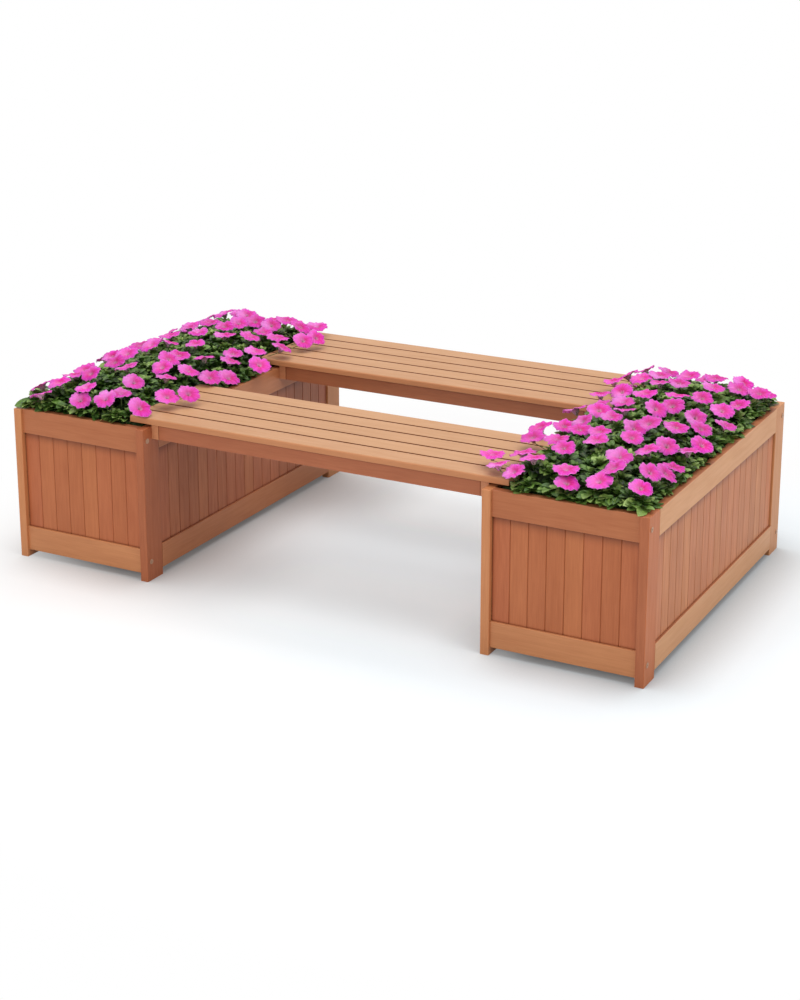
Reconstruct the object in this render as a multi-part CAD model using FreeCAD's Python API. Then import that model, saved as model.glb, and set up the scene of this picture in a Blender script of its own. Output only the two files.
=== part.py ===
import FreeCAD, Part
import math
import os

from FreeCAD import Vector

# Two slatted seats span two planter boxes. Millimetres. While the pieces are made, x runs from the
# left planter's outer face to the right planter's outer face, y from front to rear and z from the
# ground up. The origin moves to the middle of the footprint when the pieces are written.

# Overall sizes
OVERALL_LENGTH = 1723
PLANTER_WIDTH = 400
PLANTER_LENGTH = 975
PLANTER_HEIGHT = 400

# Legs and rails of the planter panels
LEG_THICKNESS = 22
LEG_WIDTH = 67
LEG_ROUND = 2
RAIL_HEIGHT = 64
RAIL_THICKNESS = 20
RAIL_ROUND = 1.5
GROUND_GAP = 18
END_SETBACK = 7

# Panel boards, held in grooves along the rails
BOARD_THICKNESS = 9
BOARD_CHAMFER = 1.5
GROOVE_DEPTH = 8
END_BOARDS = 8
SIDE_BOARDS = 19
END_BOARD_SETBACK = 6
SIDE_BOARD_SETBACK = 5

# Connector bolts through the legs into barrel nuts in the end rails
BOLT_RADIUS = 3
BOLT_CLEARANCE = 0.25
BOLT_HEAD_RADIUS = 6.5
BOLT_HEAD_HEIGHT = 1.6
SOCKET_ACROSS = 4
SOCKET_DEPTH = 1.1
NUT_RADIUS = 5
NUT_LENGTH = 14
NUT_FROM_LEG = 28
BOLT_PAST_NUT = 8

# Floor of the planter
BEARER_SIZE = 20
BEARER_ABOVE_RAIL = 4
FLOOR_SLATS = 9
FLOOR_SLAT_WIDTH = 88
FLOOR_SLAT_THICKNESS = 12
BEARER_SCREWS = 5
SCREW_RADIUS = 2
SCREW_HEAD_RADIUS = 4
SCREW_HEAD_HEIGHT = 2.5

# Liner, soil and planting
LINER_THICKNESS = 1.5
LINER_GAP = 0.5
LINER_TOP = 372
SOIL_TOP = 366
LEAF_EDGE_HEIGHT = 408
LEAF_CROWN_HEIGHT = 455
LEAF_SHOULDER = 165
LEAF_END_SHOULDER = 160
LEAF_SEAT_GAP = 3
BLOOM_RADIUS = 29
BLOOM_HEIGHT = 26
BLOOM_SPREAD = 0.08
STEM_INSET = 6
STEM_STEP = 2
RIM_CLEARANCE = 1.5
LONGEST_STEM = 70
STEM_GAP = 3
LIMB_GAP = 2.5
THROAT_GAP = 13

# Seats: slats on a frame of two aprons and three cross rails
SEAT_MARGIN = 26
SEAT_GAP_ABOVE_RIM = 8
SLAT_COUNT = 5
SLAT_WIDTH = 60
SLAT_GAP = 4
SLAT_THICKNESS = 16
SLAT_OVERLAP = 55
SLAT_ROUND = 1.5
SEAT_EDGE_ROUND = 5
FRAME_SETBACK = 12
FRAME_HEIGHT = 40
FRAME_THICKNESS = 20
FRAME_ROUND = 1
OUTER_SCREW_INSET = 32
SLAT_SCREW_DEPTH = 12
COUNTERBORE_DEPTH = 16
SEAT_BOLT_INSET = 57
SEAT_BOLT_HEAD_RADIUS = 6
SEAT_BOLT_HEAD_HEIGHT = 4
SEAT_BOLT_GRIP = 17

RIGHT_PLANTER_X = OVERALL_LENGTH - PLANTER_WIDTH
LOW_RAIL_Z = GROUND_GAP
HIGH_RAIL_Z = PLANTER_HEIGHT - RAIL_HEIGHT
SEAT_BOTTOM = PLANTER_HEIGHT + SEAT_GAP_ABOVE_RIM
SEAT_TOP = SEAT_BOTTOM + SLAT_THICKNESS
SEAT_WIDTH = SLAT_COUNT * SLAT_WIDTH + (SLAT_COUNT - 1) * SLAT_GAP
FRAME_BOTTOM = SEAT_BOTTOM - FRAME_HEIGHT
FRAME_FRONT = SEAT_MARGIN + FRAME_SETBACK
FRAME_REAR = SEAT_MARGIN + SEAT_WIDTH - FRAME_SETBACK
FLOOR_Z = GROUND_GAP + BEARER_ABOVE_RAIL + BEARER_SIZE
SOIL_BOTTOM = FLOOR_Z + FLOOR_SLAT_THICKNESS + LINER_THICKNESS

X = Vector(1, 0, 0)
Y = Vector(0, 1, 0)
Z = Vector(0, 0, 1)

# Where the flowers stand, in x and y from each planter's own left front corner
LEFT_BLOOMS = (
    (65, 30), (195, 24), (185, 60), (90, 75), (28, 80), (26, 265), (145, 135), (26, 360),
    (70, 330), (120, 330), (195, 220), (285, 130), (285, 75), (265, 32), (375, 30), (394, 118),
    (428, 165), (315, 230), (270, 275), (250, 340), (26, 520), (110, 450), (160, 470),
    (26, 660), (328, 314), (370, 347), (405, 385), (305, 420), (328, 525), (353, 476), (410, 530),
    (352, 602), (405, 655), (225, 498), (162, 606), (250, 385), (240, 620), (300, 660), (210, 740),
    (195, 690), (115, 738), (31, 835), (28, 765), (240, 780), (298, 728), (290, 785), (308, 838),
    (360, 830), (418, 745), (438, 785), (75, 200), (70, 600), (80, 860), (160, 860), (300, 905),
    (230, 900), (100, 920), (370, 900), (90, 140), (85, 520), (80, 680), (130, 260), (350, 720),
)
RIGHT_BLOOMS = (
    (195, 28), (65, 26), (360, 50), (178, 62), (265, 40), (280, 85), (352, 130), (370, 230),
    (374, 172), (270, 147), (300, 240), (327, 300), (362, 340), (374, 410), (90, 80), (42, 128),
    (-15, 88), (17, 48), (138, 140), (78, 240), (14, 245), (183, 220), (165, 287), (247, 283),
    (230, 344), (242, 400), (300, 433), (346, 482), (311, 538), (374, 578), (341, 645), (352, 730),
    (28, 403), (83, 378), (110, 300), (-12, 345), (-8, 550), (80, 494), (145, 410), (154, 474),
    (220, 513), (242, 560), (118, 553), (49, 571), (20, 648), (60, 690), (145, 630), (226, 647),
    (283, 663), (4, 775), (52, 746), (16, 838), (72, 800), (112, 828), (145, 738), (192, 750),
    (275, 770), (323, 832), (374, 838), (376, 892), (40, 905), (110, 900), (180, 850), (250, 860),
    (310, 905), (200, 925),
)


def block(x, y, z, length, width, height):
    """A plain box from its lowest corner."""
    return Part.makeBox(length, width, height, Vector(x, y, z))


def rod(centre, direction, radius, length):
    """A round bar that starts at a point."""
    return Part.makeCylinder(radius, length, centre, direction)


def edges_along(shape, axis):
    """The straight edges of a shape that run parallel to an axis."""
    found = []
    for edge in shape.Edges:
        run = edge.Vertexes[-1].Point - edge.Vertexes[0].Point
        if run.Length > 0 and abs(run.normalize().dot(axis)) > 0.999:
            found.append(edge)
    return found


def on_level(edges, axis, level):
    """Those of the edges whose both ends lie at a level of the axis."""
    return [edge for edge in edges if all(abs(v.Point.dot(axis) - level) < 0.01 for v in edge.Vertexes)]


def round_edges(shape, wide_radius, wide_edges, narrow_radius, narrow_edges):
    """A shape with some edges rounded widely and some narrowly."""
    if wide_edges:
        middles = [edge.CenterOfMass for edge in narrow_edges]
        shape = shape.makeFillet(wide_radius, wide_edges)
        narrow_edges = [
            edge for edge in shape.Edges
            if any((edge.CenterOfMass - middle).Length < 0.01 for middle in middles)
        ]
    return shape.makeFillet(narrow_radius, narrow_edges)


def flip_x(shape, middle):
    """The same piece turned over across the plane x = middle."""
    return shape.mirror(Vector(middle, 0, 0), X)


def flip_y(shape, middle):
    """The same piece turned over across the plane y = middle."""
    return shape.mirror(Vector(0, middle, 0), Y)


# The woodwork of one planter, outer face on x = 0

BOLT_Y = END_SETBACK + RAIL_THICKNESS / 2
BOLT_HEIGHTS = (LOW_RAIL_Z + RAIL_HEIGHT / 2, HIGH_RAIL_Z + RAIL_HEIGHT / 2)
NUT_X = LEG_THICKNESS + NUT_FROM_LEG
SIDE_RUN = PLANTER_LENGTH - 2 * LEG_WIDTH
END_RUN = PLANTER_WIDTH - 2 * LEG_THICKNESS


def leg():
    """The outer front leg, with its long and top edges rounded and two bolt holes."""
    body = block(0, 0, 0, LEG_THICKNESS, LEG_WIDTH, PLANTER_HEIGHT)
    top = on_level(body.Edges, Z, PLANTER_HEIGHT)
    body = body.makeFillet(LEG_ROUND, edges_along(body, Z) + top)
    for height in BOLT_HEIGHTS:
        hole = rod(Vector(0, BOLT_Y, height), X, BOLT_RADIUS + BOLT_CLEARANCE, LEG_THICKNESS)
        body = body.cut(hole)
    return body


def groove(is_top, along, start, run, centre):
    """The slot in a rail that the ends of the boards stand in."""
    z = HIGH_RAIL_Z if is_top else LOW_RAIL_Z + RAIL_HEIGHT - GROOVE_DEPTH
    near = centre - BOARD_THICKNESS / 2
    if along is X:
        return block(start, near, z, run, BOARD_THICKNESS, GROOVE_DEPTH)
    return block(near, start, z, BOARD_THICKNESS, run, GROOVE_DEPTH)


def side_rail(is_top):
    """A rail of the outer long side, flush with the legs' outer faces."""
    z = HIGH_RAIL_Z if is_top else LOW_RAIL_Z
    body = block(0, LEG_WIDTH, z, RAIL_THICKNESS, SIDE_RUN, RAIL_HEIGHT)
    body = body.makeFillet(RAIL_ROUND, edges_along(body, Y))
    centre = SIDE_BOARD_SETBACK + BOARD_THICKNESS / 2
    return body.cut(groove(is_top, Y, LEG_WIDTH, SIDE_RUN, centre))


def end_rail(is_top):
    """A rail of the front end, between the legs, bored for the bolts and barrel nuts."""
    z = HIGH_RAIL_Z if is_top else LOW_RAIL_Z
    body = block(LEG_THICKNESS, END_SETBACK, z, END_RUN, RAIL_THICKNESS, RAIL_HEIGHT)
    body = body.makeFillet(RAIL_ROUND, edges_along(body, X))
    centre = END_SETBACK + END_BOARD_SETBACK + BOARD_THICKNESS / 2
    body = body.cut(groove(is_top, X, LEG_THICKNESS, END_RUN, centre))
    bore_length = NUT_FROM_LEG + BOLT_PAST_NUT
    bolt_z = z + RAIL_HEIGHT / 2
    bore = rod(Vector(LEG_THICKNESS, BOLT_Y, bolt_z), X, BOLT_RADIUS + BOLT_CLEARANCE, bore_length)
    pocket_start = END_SETBACK + RAIL_THICKNESS - NUT_LENGTH - 1
    pocket = rod(Vector(NUT_X, pocket_start, bolt_z), Y, NUT_RADIUS, NUT_LENGTH + 1)
    hole = bore.fuse(pocket)
    return body.cut([hole, flip_x(hole, PLANTER_WIDTH / 2)])


def boards(count, pitch):
    """Boards standing side by side along x, outer face on y = 0, with chamfered outer edges."""
    z = LOW_RAIL_Z + RAIL_HEIGHT - GROOVE_DEPTH
    height = HIGH_RAIL_Z + GROOVE_DEPTH - z
    made = []
    for number in range(count):
        left = number * pitch
        right = left + pitch
        plan = [
            (left + BOARD_CHAMFER, 0), (right - BOARD_CHAMFER, 0), (right, BOARD_CHAMFER),
            (right, BOARD_THICKNESS), (left, BOARD_THICKNESS), (left, BOARD_CHAMFER),
        ]
        points = [Vector(x, y, z) for x, y in plan]
        face = Part.Face(Part.makePolygon(points + points[:1]))
        made.append(face.extrude(Z * height))
    return made


def end_boards():
    """The boards of the front end."""
    made = boards(END_BOARDS, END_RUN / END_BOARDS)
    return [board.translated(Vector(LEG_THICKNESS, END_SETBACK + END_BOARD_SETBACK, 0)) for board in made]


def side_boards():
    """The boards of the outer long side."""
    made = []
    for board in boards(SIDE_BOARDS, SIDE_RUN / SIDE_BOARDS):
        board.rotate(Vector(0, 0, 0), Z, -90)
        made.append(board.translated(Vector(SIDE_BOARD_SETBACK, PLANTER_LENGTH - LEG_WIDTH, 0)))
    return made


def corner_bolt(height):
    """A connector bolt: a flat head with a hexagon socket on the leg, and a shank through the nut."""
    head = rod(Vector(-BOLT_HEAD_HEIGHT, BOLT_Y, height), X, BOLT_HEAD_RADIUS, BOLT_HEAD_HEIGHT)
    shank = rod(Vector(0, BOLT_Y, height), X, BOLT_RADIUS, NUT_X + BOLT_PAST_NUT - 2)
    corners = []
    for corner in range(7):
        turn = math.radians(60 * corner)
        reach = SOCKET_ACROSS / 2 / math.cos(math.radians(30))
        offset = Vector(0, reach * math.cos(turn), reach * math.sin(turn))
        corners.append(Vector(-BOLT_HEAD_HEIGHT, BOLT_Y, height) + offset)
    socket = Part.Face(Part.makePolygon(corners)).extrude(X * SOCKET_DEPTH)
    return head.fuse(shank).removeSplitter().cut(socket)


def barrel_nut(height):
    """A cross dowel in the end rail, with the bolt's hole through it."""
    start = END_SETBACK + RAIL_THICKNESS - NUT_LENGTH - 1
    body = rod(Vector(NUT_X, start, height), Y, NUT_RADIUS, NUT_LENGTH)
    hole = rod(Vector(NUT_X - NUT_RADIUS, BOLT_Y, height), X, BOLT_RADIUS, 2 * NUT_RADIUS)
    return body.cut(hole)


def at_each_corner(piece):
    """The four copies of an outer front corner's piece: one for each corner of the planter."""
    left_pair = [piece, flip_y(piece, PLANTER_LENGTH / 2)]
    return left_pair + [flip_x(copy, PLANTER_WIDTH / 2) for copy in left_pair]


def bearer():
    """The outer batten that carries the floor slats, drilled for its screws."""
    z = LOW_RAIL_Z + BEARER_ABOVE_RAIL
    body = block(RAIL_THICKNESS, LEG_WIDTH, z, BEARER_SIZE, SIDE_RUN, BEARER_SIZE)
    return body.cut(bearer_screws())


def bearer_screws():
    """The screws that hold the outer batten to the bottom rail behind it."""
    z = LOW_RAIL_Z + BEARER_ABOVE_RAIL + BEARER_SIZE / 2
    face = RAIL_THICKNESS + BEARER_SIZE
    depth = BEARER_SIZE + RAIL_THICKNESS * 0.6
    step = SIDE_RUN / BEARER_SCREWS
    made = []
    for number in range(BEARER_SCREWS):
        y = LEG_WIDTH + step * (number + 0.5)
        head = Part.makeCone(
            SCREW_HEAD_RADIUS, SCREW_RADIUS, SCREW_HEAD_HEIGHT, Vector(face, y, z), Vector(-1, 0, 0)
        )
        made.append(head.fuse(rod(Vector(face, y, z), Vector(-1, 0, 0), SCREW_RADIUS, depth)))
    return [screw.removeSplitter() for screw in made]


def floor_slats():
    """Boards laid across the bearers, with gaps that let the water out."""
    inner = END_SETBACK + RAIL_THICKNESS
    clear = PLANTER_LENGTH - 2 * inner
    gap = (clear - FLOOR_SLATS * FLOOR_SLAT_WIDTH) / (FLOOR_SLATS + 1)
    made = []
    for number in range(FLOOR_SLATS):
        y = inner + gap + number * (FLOOR_SLAT_WIDTH + gap)
        made.append(block(LEG_THICKNESS, y, FLOOR_Z, END_RUN, FLOOR_SLAT_WIDTH, FLOOR_SLAT_THICKNESS))
    return made


# Liner, soil and plants of one planter

INSIDE_X = LEG_THICKNESS + LINER_GAP + LINER_THICKNESS
INSIDE_Y = END_SETBACK + RAIL_THICKNESS + LINER_GAP + LINER_THICKNESS
INSIDE_WIDTH = PLANTER_WIDTH - 2 * INSIDE_X
INSIDE_LENGTH = PLANTER_LENGTH - 2 * INSIDE_Y


def liner():
    """A felt bag that stands on the floor slats and holds the soil."""
    t = LINER_THICKNESS
    z = SOIL_BOTTOM - t
    outer = block(
        INSIDE_X - t, INSIDE_Y - t, z, INSIDE_WIDTH + 2 * t, INSIDE_LENGTH + 2 * t, LINER_TOP - z
    )
    return outer.cut(block(INSIDE_X, INSIDE_Y, SOIL_BOTTOM, INSIDE_WIDTH, INSIDE_LENGTH, LINER_TOP))


def soil():
    """The soil that fills the liner to just under its top edge."""
    height = SOIL_TOP - SOIL_BOTTOM
    return block(INSIDE_X, INSIDE_Y, SOIL_BOTTOM, INSIDE_WIDTH, INSIDE_LENGTH, height)


def crowned_profile(start, run, shoulder, side):
    """A flat profile in the plane of side and z: square below, and a low crown with round shoulders."""
    rise = LEAF_CROWN_HEIGHT - LEAF_EDGE_HEIGHT
    radius = (shoulder ** 2 + rise ** 2) / (2 * rise)
    half = math.asin(shoulder / radius) / 2
    mid_in = shoulder - radius * math.sin(half)
    mid_z = LEAF_CROWN_HEIGHT - radius * (1 - math.cos(half))

    def point(distance, z):
        return side * (start + distance) + Z * z

    low_near = point(0, SOIL_TOP)
    low_far = point(run, SOIL_TOP)
    far_edge = point(run, LEAF_EDGE_HEIGHT)
    far_top = point(run - shoulder, LEAF_CROWN_HEIGHT)
    near_top = point(shoulder, LEAF_CROWN_HEIGHT)
    near_edge = point(0, LEAF_EDGE_HEIGHT)
    edges = [
        Part.LineSegment(low_near, low_far), Part.LineSegment(low_far, far_edge),
        Part.Arc(far_edge, point(run - mid_in, mid_z), far_top), Part.LineSegment(far_top, near_top),
        Part.Arc(near_top, point(mid_in, mid_z), near_edge), Part.LineSegment(near_edge, low_near),
    ]
    return Part.Face(Part.Wire([edge.toShape() for edge in edges]))


def shoulder_height(distance, shoulder):
    """Height of the leaves at a distance in from the edge, on the profile's own arc."""
    rise = LEAF_CROWN_HEIGHT - LEAF_EDGE_HEIGHT
    radius = (shoulder ** 2 + rise ** 2) / (2 * rise)
    run_in = max(0, shoulder - distance)
    return LEAF_CROWN_HEIGHT - radius + math.sqrt(radius ** 2 - run_in ** 2)


def leaf_height(x, y):
    """Height of the leaves over a point of the planter, or of the rim beside them."""
    from_side = min(x - INSIDE_X, PLANTER_WIDTH - INSIDE_X - x)
    from_end = min(y - INSIDE_Y, PLANTER_LENGTH - INSIDE_Y - y)
    if min(from_side, from_end) < 0:
        return PLANTER_HEIGHT
    return min(shoulder_height(from_side, LEAF_SHOULDER), shoulder_height(from_end, LEAF_END_SHOULDER))


def beside_seat(y):
    """True where a seat's slats reach over the planter."""
    from_end = min(y, PLANTER_LENGTH - y)
    return SEAT_MARGIN - LEAF_SEAT_GAP < from_end < SEAT_MARGIN + SEAT_WIDTH + LEAF_SEAT_GAP


def leaf_reach(y, seat_side):
    """Lowest and highest x of the leaves' top at this y, clear of the ends of the seats."""
    low = INSIDE_X
    high = PLANTER_WIDTH - INSIDE_X
    edge = SLAT_OVERLAP + LEAF_SEAT_GAP
    if beside_seat(y) and seat_side == "left":
        low = edge
    if beside_seat(y) and seat_side == "right":
        high = PLANTER_WIDTH - edge
    return low, high


def ground_under(x, y, seat_side):
    """Height of whatever lies under a point: leaves, rim or the top of a seat."""
    low, high = leaf_reach(y, seat_side)
    if beside_seat(y) and (x < low if seat_side == "left" else x > high):
        return SEAT_TOP
    return leaf_height(x, y)


def foliage(seat_side):
    """The mass of leaves: a crowned mound, notched where the ends of the seats reach over it."""
    across = crowned_profile(INSIDE_X, INSIDE_WIDTH, LEAF_SHOULDER, X)
    across.translate(Y * INSIDE_Y)
    along = crowned_profile(INSIDE_Y, INSIDE_LENGTH, LEAF_END_SHOULDER, Y)
    along.translate(X * INSIDE_X)
    mound = across.extrude(Y * INSIDE_LENGTH).common(along.extrude(X * INSIDE_WIDTH))
    depth = SLAT_OVERLAP + LEAF_SEAT_GAP
    x = PLANTER_WIDTH - depth if seat_side == "right" else 0
    y = SEAT_MARGIN - LEAF_SEAT_GAP
    notch = block(x, y, SEAT_BOTTOM - LEAF_SEAT_GAP, depth, SEAT_WIDTH + 2 * LEAF_SEAT_GAP, 100)
    return mound.cut([notch, flip_y(notch, PLANTER_LENGTH / 2)])


def bloom(root, centre, size):
    """One trumpet flower on its stem, from its root in the leaves to the middle of its limb."""
    radius = BLOOM_RADIUS * size
    height = BLOOM_HEIGHT * size
    length = (centre - root).Length
    outline = [
        (0, 0), (1.2, 3), (1.6, length - 0.75 * height), (3, length - 0.5 * height),
        (10, length - 0.2 * height), (radius, length - 1.2), (radius, length), (9, length - 3),
        (0, length - 0.4 * height),
    ]
    points = [Vector(r, 0, h) for r, h in outline]
    trumpet = Part.Face(Part.makePolygon(points + points[:1])).revolve(Vector(0, 0, 0), Z, 360)
    trumpet.Placement = FreeCAD.Placement(root, FreeCAD.Rotation(Z, centre - root))
    return trumpet


def limb_edge(root, centre, radius):
    """Points around the edge of a flower's limb, a little below its upper face."""
    turn = FreeCAD.Rotation(Z, centre - root)
    angles = [math.radians(22.5 * step) for step in range(16)]
    return [
        centre + turn.multVec(Vector(radius * math.cos(angle), radius * math.sin(angle), -0.6))
        for angle in angles
    ]


def runs_into(flower, other):
    """True if a flower's limb or stem comes too near another flower's limb or throat."""
    root, centre, radius = flower
    other_root, other_centre, other_radius = other
    normal = (other_centre - other_root).normalize()
    below = (root - other_centre).dot(normal)
    above = (centre - other_centre).dot(normal)
    if below * above < 0:
        crossing = root + (centre - root) * (below / (below - above))
        if (crossing - other_centre).Length < other_radius + STEM_GAP:
            return True
    for point in limb_edge(root, centre, radius):
        offset = point - other_centre
        height = offset.dot(normal)
        aside = (offset - normal * height).Length
        if abs(height) < LIMB_GAP and aside < other_radius + LIMB_GAP:
            return True
        if -BLOOM_HEIGHT < height < 0 and aside < THROAT_GAP:
            return True
    return False


def is_clear(flower, others, seat_side):
    """True if a flower's limb stands clear of the leaves, the rim, the seat and other flowers."""
    for point in limb_edge(*flower):
        if point.z < ground_under(point.x, point.y, seat_side) + RIM_CLEARANCE:
            return False
    return not any(runs_into(flower, other) or runs_into(other, flower) for other in others)


def blooms(plan, seat_side):
    """The flowers. Each leans out from the middle of the mound and a little its own way, and its
    stem grows until the flower is clear of everything around it."""
    placed = []
    made = []
    for number, (x, y) in enumerate(plan):
        out_x = (x - PLANTER_WIDTH / 2) / (PLANTER_WIDTH / 2)
        out_y = (y - PLANTER_LENGTH / 2) / (PLANTER_LENGTH / 2)
        lean_x = 16 * out_x + 7 * math.sin(2.4 * number)
        lean_y = 10 * out_y ** 3 + 7 * math.cos(3.7 * number) - 5
        low, high = leaf_reach(y, seat_side)
        root_x = min(max(x - lean_x, low + STEM_INSET), high - STEM_INSET)
        root_y = min(max(y - lean_y, INSIDE_Y + STEM_INSET), PLANTER_LENGTH - INSIDE_Y - STEM_INSET)
        root = Vector(root_x, root_y, leaf_height(root_x, root_y))
        size = 1 + BLOOM_SPREAD * math.sin(5.1 * number)
        rise = BLOOM_HEIGHT + 3
        flower = (root, root, 0)
        while rise < LONGEST_STEM:
            flower = (root, Vector(x, y, root.z + rise), BLOOM_RADIUS * size)
            if is_clear(flower, placed, seat_side):
                break
            rise += STEM_STEP
        else:
            print("no room for flower", number, "at", x, y)
        placed.append(flower)
        made.append(bloom(root, flower[1], size))
    return made


# One seat, the front one

SEAT_LEFT = PLANTER_WIDTH - SLAT_OVERLAP
SEAT_LENGTH = OVERALL_LENGTH - 2 * SEAT_LEFT
FRAME_LEFT = PLANTER_WIDTH
FRAME_LENGTH = OVERALL_LENGTH - 2 * FRAME_LEFT
FRAME_DEPTH = FRAME_REAR - FRAME_FRONT
SEAT_BOLT_Z = FRAME_BOTTOM + FRAME_HEIGHT / 2
SEAT_BOLT_YS = (FRAME_FRONT + SEAT_BOLT_INSET, FRAME_REAR - SEAT_BOLT_INSET)
MIDDLE_RAIL_X = OVERALL_LENGTH / 2 - FRAME_THICKNESS / 2


def slat_start(number):
    """Front edge of a slat."""
    return SEAT_MARGIN + number * (SLAT_WIDTH + SLAT_GAP)


def slat_screw_ys():
    """Where each slat is screwed: at its middle, but well over the frame at the two outer slats."""
    found = [slat_start(number) + SLAT_WIDTH / 2 for number in range(SLAT_COUNT)]
    found[0] = FRAME_FRONT + OUTER_SCREW_INSET
    found[-1] = FRAME_REAR - OUTER_SCREW_INSET
    return found


def slat_screws():
    """Long screws driven up through the three cross rails into every slat."""
    made = []
    head_z = FRAME_BOTTOM + COUNTERBORE_DEPTH
    length = SEAT_BOTTOM - head_z + SLAT_SCREW_DEPTH
    middles = (FRAME_LEFT, MIDDLE_RAIL_X, OVERALL_LENGTH - FRAME_LEFT - FRAME_THICKNESS)
    for x in (start + FRAME_THICKNESS / 2 for start in middles):
        for y in slat_screw_ys():
            head_start = Vector(x, y, head_z - SCREW_HEAD_HEIGHT)
            head = rod(head_start, Z, SCREW_HEAD_RADIUS, SCREW_HEAD_HEIGHT)
            shank = rod(Vector(x, y, head_z), Z, SCREW_RADIUS, length)
            made.append(head.fuse(shank).removeSplitter())
    return made


def slats():
    """The five slats. The seat's two outer edges are well rounded and every other edge is eased."""
    made = []
    for number in range(SLAT_COUNT):
        y = slat_start(number)
        body = block(SEAT_LEFT, y, SEAT_BOTTOM, SEAT_LENGTH, SLAT_WIDTH, SLAT_THICKNESS)
        long_edges = edges_along(body, X)
        top = on_level(long_edges, Z, SEAT_TOP)
        bottom = on_level(long_edges, Z, SEAT_BOTTOM)
        outer = []
        if number == 0:
            outer = on_level(top, Y, y)
        if number == SLAT_COUNT - 1:
            outer = on_level(top, Y, y + SLAT_WIDTH)
        eased = [edge for edge in top + bottom if not any(edge.isSame(other) for other in outer)]
        if not outer:
            eased += on_level(edges_along(body, Y), Z, SEAT_TOP)
        body = round_edges(body, SEAT_EDGE_ROUND, outer, SLAT_ROUND, eased)
        made.append(body.cut(slat_screws()))
    return made


def aprons():
    """The long front and rear members of the seat frame, between the end rails."""
    x = FRAME_LEFT + FRAME_THICKNESS
    length = FRAME_LENGTH - 2 * FRAME_THICKNESS
    front = block(x, FRAME_FRONT, FRAME_BOTTOM, length, FRAME_THICKNESS, FRAME_HEIGHT)
    bottom = on_level(edges_along(front, X), Z, FRAME_BOTTOM)
    front = front.makeFillet(FRAME_ROUND, bottom)
    return [front, flip_y(front, (FRAME_FRONT + FRAME_REAR) / 2)]


def screw_ways(x):
    """The counterbored holes for the slat screws in a cross rail that starts at x."""
    made = []
    centre = x + FRAME_THICKNESS / 2
    for y in slat_screw_ys():
        wide = rod(Vector(centre, y, FRAME_BOTTOM), Z, SCREW_HEAD_RADIUS + 0.5, COUNTERBORE_DEPTH)
        narrow = rod(Vector(centre, y, FRAME_BOTTOM), Z, SCREW_RADIUS + 0.2, FRAME_HEIGHT)
        made += [wide, narrow]
    return made


def seat_end_rail():
    """The left end rail, which stands against the planter and takes two bolts."""
    body = block(FRAME_LEFT, FRAME_FRONT, FRAME_BOTTOM, FRAME_THICKNESS, FRAME_DEPTH, FRAME_HEIGHT)
    holes = [rod(Vector(FRAME_LEFT, y, SEAT_BOLT_Z), X, BOLT_RADIUS, FRAME_THICKNESS) for y in SEAT_BOLT_YS]
    return body.cut(holes + screw_ways(FRAME_LEFT))


def seat_middle_rail():
    """The cross rail under the middle of the slats, between the aprons."""
    y = FRAME_FRONT + FRAME_THICKNESS
    depth = FRAME_DEPTH - 2 * FRAME_THICKNESS
    body = block(MIDDLE_RAIL_X, y, FRAME_BOTTOM, FRAME_THICKNESS, depth, FRAME_HEIGHT)
    return body.cut(screw_ways(MIDDLE_RAIL_X))


def seat_bolts():
    """The two bolts from the left end rail into the planter's top rail, heads inside the seat frame."""
    inner_face = FRAME_LEFT + FRAME_THICKNESS
    back = Vector(-1, 0, 0)
    made = []
    for y in SEAT_BOLT_YS:
        shank = rod(Vector(inner_face, y, SEAT_BOLT_Z), back, BOLT_RADIUS, FRAME_THICKNESS + SEAT_BOLT_GRIP)
        head = rod(Vector(inner_face, y, SEAT_BOLT_Z), X, SEAT_BOLT_HEAD_RADIUS, SEAT_BOLT_HEAD_HEIGHT)
        made.append(head.fuse(shank).removeSplitter())
    return made


# Putting the pieces together

nodes = {}


def add(name, solids):
    """Keep the solids of one node, with the origin moved to the middle of the footprint."""
    moved = [solid.translated(Vector(-OVERALL_LENGTH / 2, -PLANTER_LENGTH / 2, 0)) for solid in solids]
    nodes.setdefault(name, []).extend(moved)


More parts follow.
